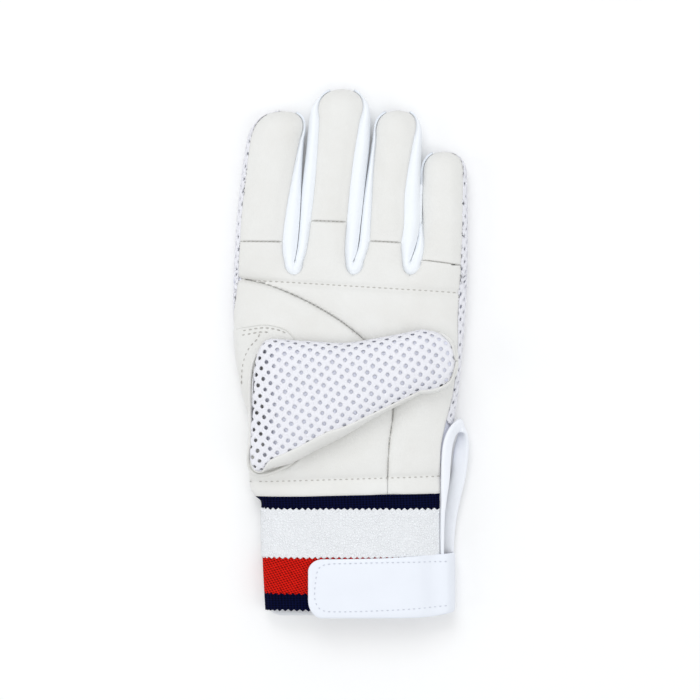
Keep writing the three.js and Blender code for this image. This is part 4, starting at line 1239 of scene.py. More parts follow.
@dataclass
class SideStrips:
    """The white strips between the fingers: down one finger, round the web and up the next."""

    wall: float = 1.0
    upper: tuple[float, ...] = (-0.25, 0.0, 0.3, 0.6, 0.82, 0.95, 1.0)
    lower: tuple[float, ...] = (0.9, 0.7, 0.45, 0.2, 0.0)
    inset: float = 3.5
    fan: tuple[tuple[float, float, float], ...] = (
        (35.62, 37.7, 0.06), (36.2, 38.1, 0.2), (37.4, 39.1, 0.45), (39.6, 40.8, 0.72),
    )

    def row(self, k: int, pad: tuple[float, float], crest: tuple[float, float],
            back: tuple[float, float]) -> Array:
        """One row of a strip, from the leather's edge over the widest place to the back's edge.

        Args:
            k: the finger's number.
            pad: the leather's edge in plan.
            crest: the widest place in plan.
            back: the edge of the back in plan.

        Returns:
            The places, the first tucked under the leather.
        """
        share, lower = np.array(self.upper)[:, None], np.array(self.lower)[:, None]
        over = mix(np.array(pad), np.array(crest), share)
        beneath = mix(np.array(back), np.array(crest), lower)
        size = min(0.9, 0.2 * math.dist(pad, crest))
        rise = size * np.sin(np.pi * np.clip(self.upper, 0, 1) ** 1.3)
        lift = np.where(np.array(self.upper) <= 0, -1.0, rise)
        top = FORM.top(over[:, 0], over[:, 1], FINGERS[k])
        top[-1] += 5.6 * (1 - float(smoothstep(68, 92, crest[1])))
        shelf = mix(top[-1], top[1], np.sqrt(np.clip(1 - np.clip(share[:, 0], 0, 1) ** 7, 0, 1)))
        top = mix(top, shelf, 0.75) + lift
        low = FORM.under(beneath[:, 0], beneath[:, 1], FINGERS[k])
        return np.concatenate([np.column_stack([over, top]), np.column_stack([beneath, low])])

    def side_row(self, k: int, side: int, y: float) -> Array:
        """Returns the row at one height of a finger's side, straight across."""
        finger = FINGERS[k]
        wide = float(finger.side(side, y) + side * 0.26 * (1 - smoothstep(74, 90, y)))
        pad = float(finger.pad_side(side, y)) + side * 0.15
        back = wide - side * min(3.0, float(0.55 * finger.half(y)) - 0.4)
        return self.row(k, (pad, y), (wide, y), (back, y))

    def heights(self, k: int) -> list[float]:
        """Returns the rows' heights on a finger, from the web up over most of the tip."""
        finger = FINGERS[k]
        turns = np.sin(np.radians([14, 28, 42, 54, 64, 72, 79]))
        tip = mix(finger.round, finger.tip[1] - 0.7, turns)
        straight = np.arange(80, finger.round, 8)
        return [42.8, 44.6, 47, 50, 56, 64, 72, *straight, finger.round, *tip]

    def web_rows(self, k: int, side: int, palm: Palm) -> list[Array]:
        """Returns the rows that fan round the web on one finger's side, from the web outwards."""
        web = np.array([FORM.webs[k if side > 0 else k - 1], FORM.web_y])
        corner = np.array([float(FINGERS[k].side(side, 42.2)), 42.2])
        rows = []
        for pad_y, back_y, share in self.fan:
            pad = (float(palm.pad_edge(k, side, pad_y)), pad_y + 0.1)
            own = FINGERS[k].side(side, back_y) - side * self.inset
            opened = math.sqrt((back_y - FORM.back_u) / FORM.back_opening)
            back = (float(mix(web[0], own, opened)), back_y + 0.3)
            rows.append(self.row(k, pad, tuple(mix(web, corner, share)), back))
        return rows

    def build(self, finish: Any, palm: Palm) -> list[Any]:
        """Makes the three strips.

        Args:
            finish: the strips' cloth.
            palm: the palm, for its edges.

        Returns:
            The pieces.
        """
        made = []
        for k in range(3):
            rows = [self.side_row(k, 1, y) for y in reversed(self.heights(k))]
            rows += reversed(self.web_rows(k, 1, palm))
            rows += self.web_rows(k + 1, -1, palm)
            rows += [self.side_row(k + 1, -1, y) for y in self.heights(k + 1)]
            names = f"{FINGERS[k].name}_{FINGERS[k + 1].name}"
            surface = Surface().grid(np.array(rows)[::-1])
            strip = surface.build(f"{names}_strip", finish, self.wall, smooth=2)
            made.append(settle(strip, f"side_strip_{names}"))
        return made


class Draped:
    """A surface that a flat pattern is laid on: sections, and the length across each of them."""

    def __init__(self, sections: Array, along: Array, zero: Array) -> None:
        """Measures the sections and spaces their places evenly.

        Args:
            sections: the places, a row for each section.
            along: each section's place along the cloth.
            zero: how far across each section's first place lies.
        """
        across = lengths(sections)
        self.along = along
        self.low, self.high = zero, zero + across[:, -1]
        self.even = np.linspace(0, 1, 160)
        self.table = np.array([
            np.stack([np.interp(self.even * row[-1], row, place[:, axis]) for axis in range(3)], -1)
            for row, place in zip(across, sections)
        ])

    def limits(self, u: Array) -> tuple[Array, Array]:
        """Returns the lowest and highest place across at each place along."""
        return np.interp(u, self.along, self.low), np.interp(u, self.along, self.high)

    def at(self, u: Array, v: Array) -> Array:
        """Finds places on the surface by mixing the four nearest of its table.

        Args:
            u: along the cloth.
            v: across it; both are held at the surface's edges.

        Returns:
            The places.
        """
        u = np.clip(u, self.along[0], self.along[-1])
        low, high = self.limits(u)
        share = np.clip((v - low) / np.maximum(high - low, 1e-6), 0, 1) * (len(self.even) - 1)
        row = np.clip(np.searchsorted(self.along, u, side="right") - 1, 0, len(self.along) - 2)
        down = ((u - self.along[row]) / (self.along[row + 1] - self.along[row]))[..., None]
        column = np.clip(share.astype(int), 0, len(self.even) - 2)
        over = (share - column)[..., None]
        near = mix(self.table[row, column], self.table[row, column + 1], over)
        far = mix(self.table[row + 1, column], self.table[row + 1, column + 1], over)
        return mix(near, far, down)

    def facing(self, u: Array, v: Array) -> Array:
        """Returns the unit normals, the cross product of small steps along and across."""
        du = self.at(u + 0.5, v) - self.at(u - 0.5, v)
        dv = self.at(u, v + 0.5) - self.at(u, v - 0.5)
        return unit(np.cross(du, dv))


@dataclass(frozen=True)
class OpenMesh:
    """Open-mesh cloth: round holes on a slanting lattice, cut through."""

    step_a: tuple[float, float] = (3.32, -1.91)
    step_b: tuple[float, float] = (-2.41, -2.87)
    hole: float = 0.88
    crown: float = 0.16
    wall: float = 0.75
    reach: float = 2.6

    def border(self) -> Array:
        """Returns one cell's border: the places nearest to its own hole, with edge middles."""
        a, b = np.array(self.step_a), np.array(self.step_b)
        near = np.array([a, a + b, b, -a, -a - b, -b])
        after = np.roll(near, -1, axis=0)
        across = 2 * (near[:, 0] * after[:, 1] - near[:, 1] * after[:, 0])
        size, size_after = (near**2).sum(1), (after**2).sum(1)
        corners = np.stack([
            (after[:, 1] * size - near[:, 1] * size_after) / across,
            (near[:, 0] * size_after - after[:, 0] * size) / across,
        ], -1)
        between = (corners + np.roll(corners, -1, axis=0)) / 2
        return np.stack([corners, between], 1).reshape(-1, 2)

    def centres(self, cloth: Draped) -> Array:
        """Returns the holes' centres on the slanting lattice, over the cloth and a little past it."""
        low, high = cloth.low.min() - self.reach, cloth.high.max() + self.reach
        start, end = cloth.along[0] - self.reach, cloth.along[-1] + self.reach
        basis = np.array([self.step_a, self.step_b]).T
        box = np.array([[start, low], [start, high], [end, low], [end, high]]).T
        counts = np.linalg.inv(basis) @ box
        i, j = np.meshgrid(
            np.arange(math.floor(counts[0].min()), math.ceil(counts[0].max()) + 1),
            np.arange(math.floor(counts[1].min()), math.ceil(counts[1].max()) + 1),
        )
        centres = np.stack([i.ravel(), j.ravel()], -1) @ basis.T
        bottom, top = cloth.limits(centres[:, 0])
        inside = (centres[:, 0] > start) & (centres[:, 0] < end)
        inside &= (centres[:, 1] > bottom - self.reach) & (centres[:, 1] < top + self.reach)
        return centres[inside]

    def lay(self, surface: Surface, cloth: Draped, raised: bool) -> Surface:
        """Lays the pattern on a surface; cells past its edge are drawn in to the edge.

        Args:
            surface: what the faces are added to.
            cloth: the surface that carries the pattern.
            raised: whether each hole has a crowned ring of yarn round it.

        Returns:
            The surface with rings of four-cornered faces round each hole.
        """
        border, centres = self.border(), self.centres(cloth)
        chance = np.random.default_rng(7)
        size = self.hole * chance.uniform(0.93, 1.07, (len(centres), 1, 1))
        inner = centres[:, None] + size * unit(border)[None]
        outer = centres[:, None] + border[None]
        middle = mix(inner, outer, 0.45)
        levels = [inner, middle, outer] if raised else [inner, outer]
        lifts = [-0.12, self.crown, 0.0] if raised else [0.0, 0.0]
        flat = np.stack(levels, 1)
        u = np.clip(flat[..., 0], cloth.along[0], cloth.along[-1])
        least, most = cloth.limits(u)
        v = np.clip(flat[..., 1], least, most)
        lift = np.array(lifts)[None, :, None, None]
        places = cloth.at(u, v) + cloth.facing(u, v) * lift
        cells, rounds, corners, _ = places.shape
        index = np.arange(cells * rounds * corners).reshape(cells, rounds, corners)
        after = np.roll(index, -1, axis=2)
        quads = np.stack([index[:, :-1], index[:, 1:], after[:, 1:], after[:, :-1]], -1).reshape(-1, 4)
        own = np.stack([u, v], -1).reshape(-1, 2)
        spread = own[quads]
        area = (
            (spread[:, 2, 0] - spread[:, 0, 0]) * (spread[:, 3, 1] - spread[:, 1, 1])
            - (spread[:, 2, 1] - spread[:, 0, 1]) * (spread[:, 3, 0] - spread[:, 1, 0])
        )
        area *= np.sign(np.median(area))
        turned = border[0, 0] * border[1, 1] < border[0, 1] * border[1, 0]
        quads = quads[area > 1e-3]
        return surface.faces(places.reshape(-1, 3), quads[:, ::-1] if turned else quads, own)


@dataclass
class Back:
    """The open-mesh back: one cloth under the hand, drawn up round the outer sides."""

    low: float = -61.8
    inset: float = 3.5
    backing: float = 1.3
    knit: OpenMesh = OpenMesh()

    def edge_angle(self, side: int, y: Array) -> Array:
        """Returns how far up the side the cloth goes: just short of the leather's edge."""
        turning = 6 * bell(y - 14, 12) if side < 0 else 0
        edge = FORM.leather_edge(side, y) - 2 - turning
        return edge if side < 0 else mix(-58, edge, smoothstep(-37, -30.5, y))

    def web_edge(self, k: int, side: int, y: Array) -> Array:
        """Returns the cloth's edge beside a web, which opens as the leather's does."""
        finger = FINGERS[k]
        own = finger.side(side, y) - side * np.minimum(self.inset, 0.55 * finger.half(y))
        web = FORM.webs[k - 1] if side < 0 else FORM.webs[k]
        return mix(web, own, np.sqrt(np.clip((y - FORM.back_u) / FORM.back_opening, 0, 1)))

    def sections(self, y: Array, k: int | None) -> Array:
        """Sections of the back from the thumb side to the little-finger side.

        Args:
            y: the sections' heights, in a column.
            k: the finger's number, or None for the whole hand.

        Returns:
            A grid of places.
        """
        parts = []
        finger = None if k is None else FINGERS[k]
        if not k:
            angles = mix(self.edge_angle(-1, y), -80, np.linspace(0, 1, 16)[None, :])
            parts.append(FORM.on_side(-1, y, angles))
            start = parts[0][:, -1:, 0]
        else:
            start = self.web_edge(k, -1, y)
        if k in (None, 3):
            angles = mix(-80, self.edge_angle(1, y), np.linspace(0, 1, 16)[None, :])
            last = FORM.on_side(1, y, angles)
            end = last[:, :1, 0]
        else:
            last, end = None, self.web_edge(k, 1, y)
        first, stop = 0 if k else 1, None if last is None else -1
        x = mix(start, end, np.linspace(0, 1, 60)[None, first:stop])
        parts.append(np.stack([x, x * 0 + y, FORM.under(x, x * 0 + y, finger)], -1))
        if last is not None:
            parts.append(last)
        return np.concatenate(parts, 1)

    def build(self, finish: Any) -> Any:
        """Makes the back.

        Args:
            finish: the cloth.

        Returns:
            The piece.
        """
        surface = Surface()
        y = np.linspace(self.low, FORM.back_u, 90)[:, None]
        hand = self.sections(y, None)
        nearest = np.abs(hand[:, :, 0] + 100 * (hand[:, :, 2] > 3)).argmin(1)
        self.knit.lay(surface, self.measured(hand, y[:, 0], nearest), False)
        for k, finger in enumerate(FINGERS):
            tip = mix(finger.round, finger.tip[1], np.sin(np.radians(np.linspace(0, 84, 16)[1:])))
            y = np.concatenate([np.linspace(FORM.back_u, finger.round, 50), tip])[:, None]
            grid = self.sections(y, k)
            nose = grid[-1].copy()
            nose[:, 1] += 0.25
            nose[:, 2] = np.minimum(FORM.side_level, nose[:, 2] + 1.5)
            grid = np.concatenate([grid, nose[None]])
            middle = np.abs(grid[:, :, 0] - finger.centre(grid[:, :, 1])).argmin(1)
            along = FORM.back_u + lengths(grid[np.arange(len(grid)), middle][:, 1:])
            self.knit.lay(surface, self.measured(grid, along, middle), False)
        made = surface.build("mesh_back_cloth", finish, self.knit.wall, merge=0.02)
        return settle(made, "mesh_back")

    def lining(self, finish: Any) -> Any:
        """Makes the pale backing that shows through the open mesh on both outer sides.

        Args:
            finish: its cloth.

        Returns:
            The piece.
        """
        surface = Surface()
        share = np.linspace(0, 1, 18)[None, :]
        for side, finger, low in ((-1, FINGERS[0], -60.0), (1, FINGERS[-1], -50.0)):
            y = np.linspace(low, finger.round + 6, 120)[:, None]
            upper = self.edge_angle(side, y) + 4 if side < 0 else FORM.leather_edge(side, y) - 1
            outer = FORM.on_side(side, y, mix(upper, -50, share))
            outer = outer[:, ::-1] if side < 0 else outer
            inner = sunk(outer, self.backing)
            inner[..., 0] = side * np.minimum(side * inner[..., 0], side * outer[..., 0] - 0.6)
            surface.grid(inner)
        return settle(surface.build("outer_side_lining", finish, 0.8), [])

    def measured(self, grid: Array, along: Array, column: Array) -> Draped:
        """Returns the cloth with its lattice square to the plan at one column of places."""
        across, rows = lengths(grid), np.arange(len(grid))
        return Draped(grid, along, grid[rows, column, 0] - across[rows, column])


@dataclass
class Thumb:
    """The thumb, folded over the palm: open mesh above, leather below and along its edge."""

    x: tuple[float, ...] = (
        -45.2, -44.4, -43.6, -42.6, -41.3, -39.5, -36.5, -27, -13.9, -2.5, 8.9, 22.5, 31.6,
    )
    upper: tuple[float, ...] = (
        -42.0, -26.0, -10.5, -3.4, 1.0, 4.6, 6.4, 5.9, 5.1, 4.6, 6.2, 8.7, 10.6,
    )
    lower: tuple[float, ...] = (
        -48.4, -50.9, -52.2, -52.9, -53.2, -52.8, -51.4, -48.8, -42.2, -36.3, -29.5, -22.2, -17.7,
    )
    depth_row: tuple[float, ...] = (
        5.5, 7.6, 8.6, 9.4, 10.2, 10.9, 11.6, 12.2, 12.4, 12.4, 12.2, 12.0, 11.6,
    )
    trim_row: tuple[float, ...] = (0, 0, 0, 0, 0, 0.2, 2.6, 4.4, 5.0, 3.0, 1.6, 0.9, 0.8)
    cord: tuple[tuple[float, float], ...] = (
        (-42.2, 0.6), (-44.4, -5.1), (-45.6, -15.0), (-45.4, -27.7), (-45.2, -36.7), (-46.0, -45.7),
        (-46.2, -50.2), (-44.8, -53.6), (-41.3, -55.2), (-35.9, -54.1), (-29.6, -51.4), (-24.5, -48.3),
    )
    tip: tuple[float, float] = (48.6, -3.4)
    power: float = 2.3
    clear: float = 0.7
    side_level: float = 4.4
    fold: float = -38.0
    wall: float = 1.1
    lining: float = 1.05
    root_depth: float = 1.8
    rim: float = 1.6
    middle_column: int = 46
    knit: OpenMesh = OpenMesh(wall=0.6)

    def tip_share(self, x: Array) -> Array:
        """Returns how far into the rounded tip a place lies."""
        return np.clip((x - self.x[-1]) / (self.tip[0] - self.x[-1]), 0, 1)

    def rim_angle(self, x: Array) -> Array:
        """Returns how far the leather's even rim reaches over the tip from either side."""
        reach = self.tip[0] - self.x[-1]
        outer = oval(self.tip_share(x), self.power)
        inner = oval(np.clip((x - self.x[-1]) / (reach - self.rim), 0, 1), self.power)
        inset = self.half(x) * (1 - inner / np.maximum(outer, 1e-3))
        turned = np.arccos(np.clip(1 - inset / np.minimum(9, 0.9 * self.half(x)), -0.1, 1))
        return np.degrees(turned) * smoothstep(38, 42, x)

    def centre(self, x: Array) -> Array:
        """Returns the middle line, leaning to the tip's own place."""
        middle = (Curve(self.x, self.upper)(x) + Curve(self.x, self.lower)(x)) / 2
        return mix(middle, self.tip[1], self.tip_share(x))

    def half(self, x: Array) -> Array:
        """Returns half the width, a superellipse over the tip."""
        width = Curve(self.x, self.upper)(x) - Curve(self.x, self.lower)(x)
        return width / 2 * oval(self.tip_share(x), self.power)

    def rest(self, x: Array, y: Array) -> Array:
        """Returns the height that it rests on: the palm's, held level past the palm's edges."""
        return self.clear + FORM.top(np.clip(x, -41, 38), np.clip(y, -46, 2))

    def plump(self, x: Array) -> Array:
        """Returns the share of the full depth, a quarter circle over the tip."""
        return oval(self.tip_share(x), 2)

    def height(self, x: Array, y: Array, above: bool) -> Array:
        """The sleeve's upper or lower face.

        Args:
            x: along the thumb.
            y: across it.
            above: the upper face or the lower.

        Returns:
            The height over the palm, a rounded section on each side of the widest level.
        """
        share = (y - self.centre(x)) / np.maximum(0.1, self.half(x))
        depth = Curve(self.x, self.depth_row)(x)
        side = np.minimum(self.side_level, 0.55 * depth)
        if above:
            return self.rest(x, y) + side + (depth - side) * self.plump(x) * rounded(share, 0.3, 2.2)
        return self.rest(x, y) + side * (1 - self.plump(x) * rounded(share, 0.45, 2))

    def on_side(self, side: int, x: Array, angle: Array) -> Array:
        """Returns places by their angle round the upper (1) or lower (-1) side, 90 on top."""
        x, angle = np.broadcast_arrays(x, angle)
        turn = np.minimum(9, 0.9 * self.half(x))
        y = self.centre(x) + side * (self.half(x) - turn * (1 - np.cos(np.radians(angle))))
        z = np.where(angle >= 0, self.height(x, y, True), self.height(x, y, False))
        return np.stack([x, y, z], -1)

    def trim_angle(self, x: Array) -> Array:
        """Returns the angle at which the open mesh ends on the lower edge."""
        turn = np.maximum(np.minimum(9, 0.9 * self.half(x)), 1e-3)
        trim = Curve(self.x, self.trim_row)(x)
        return np.minimum(60, np.degrees(np.arccos(np.clip(1 - trim / turn, -0.2, 1))))

    def stations(self, last: float) -> Array:
        """Returns the sections' places along the thumb, as a column, up to an angle of the tip."""
        tip = mix(self.x[-1], self.tip[0], np.sin(np.radians(np.linspace(0, last, 16)[1:])))
        root = np.array([-45.2, -44.9, -44.5, -44.1, -43.6, -43.1, -42.5, -41.8])
        return np.concatenate([root, np.linspace(-41, self.x[-1], 90), tip])[:, None]

    def cover(self, x: Array) -> Array:
        """Returns the upper face in rows along the thumb, from the lower trim over the fold."""
        lower = self.on_side(-1, x, mix(self.trim_angle(x), 84, np.linspace(0, 1, 16)[None, :]))
        upper = self.on_side(1, x, mix(80, self.fold, np.linspace(0, 1, 30)[None, :]))
        y = mix(lower[:, -1:, 1], upper[:, :1, 1], np.linspace(0, 1, 60)[None, 1:-1])
        top = np.stack([x + 0 * y, y, self.height(x + 0 * y, y, True)], -1)
        return np.concatenate([lower, top, upper], 1)

    def mesh(self, finish: Any) -> Any:
        """Makes the open mesh of the upper face, folded over the upper edge.

        Args:
            finish: the cloth.

        Returns:
            The piece.
        """
        x = self.stations(80)
        grid = self.cover(x)
        pull = smoothstep(30, 45, grid[..., 0])
        middle = self.middle_column
        centre = 0.5 * (grid[:, :1, 1] + grid[:, middle:middle + 1, 1])
        grid[..., 1] = mix(grid[..., 1], mix(grid[..., 1], centre, 0.03), pull)
        grid[..., 0] -= pull * 0.055 * (grid[..., 0] - self.x[-1])
        cloth = Draped(grid, x[:, 0], grid[:, middle, 1] - lengths(grid)[:, middle])
        made = self.knit.lay(Surface(), cloth, True).build(
            "thumb_mesh_cloth", finish, self.knit.wall, merge=0.01
        )
        return settle(made, "thumb_mesh")

    def leather(self, finish: Any) -> Any:
        """Makes the leather below, with its hole and the band along the lower edge.

        Args:
            finish: the leather.

        Returns:
            The piece.
        """
        x = self.stations(86)
        rim = self.rim_angle(x)
        trim = np.maximum(self.trim_angle(x) + 7, rim)
        start = mix(self.fold + 4, rim, smoothstep(37, 41, x))
        fold = mix(start, -80, np.linspace(0, 1, 26)[None, :])
        upper = self.on_side(1, x, fold)
        rise = 0.7 * smoothstep(-36, 10, fold)
        upper[..., 1] += rise * np.cos(np.radians(fold))
        upper[..., 2] += rise * np.sin(np.radians(fold))
        turned = np.linspace(0, 1, 34)[None, :]
        angle = mix(-80, trim, turned)
        lower = self.on_side(-1, x, angle)
        y = mix(upper[:, -1:, 1], lower[:, :1, 1], np.linspace(0, 1, 46)[None, 1:-1])
        base = np.stack([x + 0 * y, y, self.height(x + 0 * y, y, False)], -1)
        lift = 0.8 * smoothstep(0, 0.5, turned) - edge_roll((1 - turned) * 14, 1.2, 0.5)
        lower[..., 1] -= lift * np.cos(np.radians(angle))
        lower[..., 2] += lift * np.sin(np.radians(angle))
        grid = np.concatenate([upper, base, lower], 1)
        middle = (grid[:-1, :-1] + grid[1:, 1:]) / 2
        under = middle[..., 2] < self.rest(middle[..., 0], middle[..., 1]) + 1.5
        hole = (np.abs(middle[..., 0] + 28.5) < 9.5) & (np.abs(middle[..., 1] + 24) < 17.5) & under
        made = Surface().grid(grid[:, ::-1], ~hole[:, ::-1]).build("thumb_leather_side", finish, self.wall)
        return settle(made, "thumb_leather")

    def backing(self, finish: Any) -> Any:
        """Makes the pale cloth that shows through the open mesh, deeper towards the root.

        Args:
            finish: its cloth.

        Returns:
            The piece.
        """
        inner = self.cover(self.stations(80)[8:-2])[:, ::-1]
        inner = sunk(inner, self.lining + self.root_depth * (1 - smoothstep(-42, -32, inner[..., 0])))
        return settle(Surface().grid(inner).build("thumb_lining", finish, 0.8), [])

    def welt(self, finish: Any) -> Any:
        """Makes the corded edge at the root, a round cord beside the mesh.

        Args:
            finish: the leather.

        Returns:
            The piece.
        """
        line = spline([(x, y, 0.0) for x, y in self.cord], 160)
        x, y = line[:, 0], line[:, 1]
        lying = PALM.height(np.maximum(x, -43.0), y) + 0.5
        raised = smoothstep(-54, -43, y) * smoothstep(-39, -43, x)
        middle = np.stack([x, y, mix(lying, 16.6, raised)], -1)
        along = unit(np.gradient(middle, axis=0))
        across = unit(np.cross(along, (0.0, 0.0, 1.0)))
        angle = np.linspace(0, 2 * np.pi, 14, endpoint=False)[None, :, None]
        count = np.arange(len(x))
        size = 0.75 * np.sqrt(np.clip(np.minimum(count, count[::-1]) / 6, 0.002, 1))
        ring = np.cos(angle) * across[:, None] + np.sin(angle) * np.cross(across, along)[:, None]
        tube = middle[:, None] + size[:, None, None] * ring
        return settle(
            Surface().rings(tube[None]).build("thumb_root_welt", finish), "thumb_welt"
        )


@dataclass
class Patch:
    """The thin leather patch over the thumb's root: a band above the thumb and one beside it."""

    wall: float = 1.1
    low: float = -50.0
    rise: float = 1.55
    edge_line: tuple[tuple[float, float], ...] = (
        (-53, 10.8), (-46, 11.9), (-39.4, 12.8), (-33, 11.9), (-28.6, 10.0), (-25.5, 6.6),
    )

    def edge(self, x: Array) -> Array:
        """Returns the height of the patch's upper edge."""
        xs, ys = zip(*self.edge_line)
        return Curve(xs, ys)(x)

    def build(self, finish: Any) -> Any:
        """Makes the patch, which wraps round the thumb side.

        Args:
            finish: the leather.

        Returns:
            The piece.
        """
        angles = np.linspace(-14, SIDE_TOP, 26)[None, :]
        share = np.linspace(0, 1, 90)[:, None]
        y = mix(self.low, self.edge(FORM.on_side(-1, 8.0, angles)[..., 0]), share)
        side = FORM.on_side(-1, y, angles)
        turn = np.radians(angles)
        out = np.stack([-np.cos(turn) + 0 * y, 0 * y, np.sin(turn) + 0 * y], -1)
        rim = self.edge(side[..., 0]) - y
        lift = mix(0.35, self.rise, smoothstep(5, 65, angles)) - edge_roll(rim, 1.3, 0.7)
        side = side + out * lift[..., None]
        across = np.linspace(0, 1, 30)[None, 1:]
        x = mix(side[:, -1:, 0], -25.5, across)
        y_top = mix(self.low, self.edge(x), share)
        top = np.stack([x, y_top, FORM.top(x, y_top) + self.rise], -1)
        grid = np.concatenate([side, top], 1)
        rim = self.edge(grid[..., 0]) - grid[..., 1]
        rim = np.minimum(rim, np.maximum(-25.5 - grid[..., 0], 0) + 0.2)
        grid[..., 2] -= edge_roll(rim, 1.1, 0.7) * (np.arange(grid.shape[1]) >= side.shape[1])
        grid[..., 2] += PALM.relief(grid[..., 0], grid[..., 1]) * 0.3 * (grid[..., 2] > 12)
        middle = (grid[:-1, :-1] + grid[1:, 1:]) / 2
        thumb_edge = Curve(Thumb.x, Thumb.upper)(middle[..., 0])
        beneath = middle[..., 0] > FORM.hand_side(-1, middle[..., 1]) + 3.4
        beneath &= middle[..., 1] < thumb_edge - 2.6
        made = Surface().grid(grid, ~beneath).build("thumb_root_patch", finish, self.wall)
        return settle(made, "thumb_patch")


class Zone(Enum):
    """The knitted zones of the elastic, from its lower edge up."""

    LOWER_NAVY = ("elastic_lower_navy", -116.4, -109.1)
    RED = ("elastic_red", -109.1, -92.6)
    TOWEL = ("elastic_towelling", -92.6, -70.5)
    UPPER_NAVY = ("elastic_upper_navy", -70.5, None)


@dataclass
class Wrist:
    """The elastic band, the cloth under the wrist, the tape round the slit and the strap."""

    right: float = 40.4
    base: float = 3.7
    wall: float = 1.9
    tooth: float = 2.7
    tooth_height: float = 1.05
    tape_thickness: float = 2.2
    panel_low: float = -119.5
    strap_y: float = -105.0
    strap_gap: float = 0.45
    strap_thickness: float = 1.7
    strap_end: float = -19.2
    strap_radius: float = 6.5
    tape: tuple[tuple[float, ...], ...] = (
        (41.5, -94.0, 10.6, 1.6, 20), (41.7, -75, 13.2, 1.8, 20), (42.2, -66, 13.6, 2.8, 22),
        (42.9, -58, 13.6, 4.0, 26), (43.3, -49, 13.3, 4.7, 30), (44.2, -41, 12.9, 5.2, 38),
        (46.4, -35.4, 12.0, 5.8, 55), (49.6, -32.8, 9.8, 6.4, 80), (51.2, -34.4, 7.4, 6.2, 105),
        (51.1, -39, 5.6, 6.6, 140), (50.4, -45.5, 4.8, 7.0, 165), (49.0, -56, 4.4, 7.0, 172),
        (47.2, -63.6, 4.3, 6.9, 175), (45.5, -72.5, 4.1, 6.7, 178), (44.4, -82, 3.6, 6.3, 180),
        (44.2, -92.4, 3.2, 5.6, 180),
    )
    strap_seam: tuple[tuple[float, float], ...] = (
        (44.8, -94.3), (20, -94.5), (-2, -95.0), (-11.5, -95.5), (-14.4, -97.3), (-15.4, -100.5),
        (-16.2, -108), (-15.7, -112.6), (-13.6, -115.6), (-10, -116.7), (10, -116.4), (30, -115.4),
        (44.8, -114.2),
    )
    edge_x: tuple[float, ...] = (-20, 13.4, 36, 47)
    strap_upper: tuple[float, ...] = (-93.2, -92.7, -91.3, -90.5)
    strap_lower: tuple[float, ...] = (-119.8, -119.8, -119.3, -117.4)

    def teeth(self, along: Array) -> Array:
        """Returns the zigzag of a zone's edge, a triangle wave along it."""
        return self.tooth_height * (2 * np.abs((along / self.tooth) % 1 - 0.5) - 0.5)

    def zone(self, zone: Zone) -> Array:
        """One zone of the elastic, round the thumb side and over the palm side.

        Args:
            zone: which one.

        Returns:
            A grid of places from its lower edge to its upper one.
        """
        _, low, high = zone.value
        arc, flat = np.linspace(0, 1, 60), np.linspace(0, 1, 211)[1:]
        angle = np.concatenate([mix(-SIDE_TOP, SIDE_TOP, arc), np.full(210, SIDE_TOP)])[None, :]
        share = np.concatenate([0 * arc, flat])[None, :]
        start = FORM.on_side(-1, -90.0, SIDE_TOP)[0]
        along = np.concatenate([mix(-27, 0, arc), flat * (self.right - start)])[None, :]
        x_about = mix(start, self.right, share)
        bottom = low + self.teeth(along)
        top = FORM.across(FORM.hem, x_about) + 0.6 if high is None else high + self.teeth(along)
        count = 40 if zone is Zone.TOWEL else 30
        y = mix(bottom, top, np.linspace(0, 1, count)[:, None])
        side = FORM.on_side(-1, y, angle)
        over = mix(FORM.on_side(-1, y, SIDE_TOP)[..., 0], self.right, share)
        x = np.where(share > 0, over, side[..., 0])
        z = np.where(share > 0, FORM.top(x, y), side[..., 2])
        z = mix(self.base, FORM.side_level, np.clip(z / FORM.side_level, 0, 1)) + np.maximum(
            0, z - FORM.side_level
        )
        if zone is Zone.TOWEL:
            chance = np.random.default_rng(11)
            pile = chance.uniform(-1, 1, y.shape)
            pile = (pile + np.roll(pile, 1, 0) + np.roll(pile, 1, 1)) / 3
            z = z + 0.35 + 0.22 * pile * (angle > 0)
            x = x + 0.3 * pile * (angle <= 40) - 0.3 * (angle < 50)
        else:
            z = z - 0.25 * bell(y - bottom, 0.9)
        z = z + 0.12 * np.sin(x / 5.0 + y / 3.0)
        return np.stack([x, y + 0 * x, z], -1)

    def elastic(self, finishes: dict[Zone, Any]) -> list[Any]:
        """Makes the four zones.

        Args:
            finishes: the knit of each zone.

        Returns:
            The pieces.
        """
        made = []
        for zone in Zone:
            cloth = Surface().grid(self.zone(zone)).build(zone.value[0], finishes[zone], self.wall)
            made.append(settle(cloth, "wrist_elastic"))
        return made

    def panel(self, finish: Any) -> Any:
        """Makes the cloth under the wrist: a flat sheet with rounded lower corner and soft edges.

        Args:
            finish: the cloth.

        Returns:
            The piece.
        """
        low = self.panel_low
        y = np.linspace(low, -62.6, 70)[:, None]
        left = -37.9 + 6 * (1 - quarter(np.clip((y - low) / 6, 0, 1)))
        right = np.interp(y, [low, -88, -62.6], [40.5, 40.8, 43.4])
        x = mix(left, right, np.linspace(0, 1, 90)[None, :])
        edge = np.minimum(np.minimum(x - left, right - x), np.minimum(y - low, -62.6 - y))
        wave = 0.1 * np.sin(x / 6.0) * np.sin(y / 7.0)
        z = 3.1 + 0.8 * smoothstep(-113, -118, y) + wave - edge_roll(edge, 1.0, 0.4)
        made = Surface().grid(np.stack([x, y + 0 * x, z], -1)).build("wrist_back_cloth", finish, 1.2)
        return settle(made, "wrist_panel")

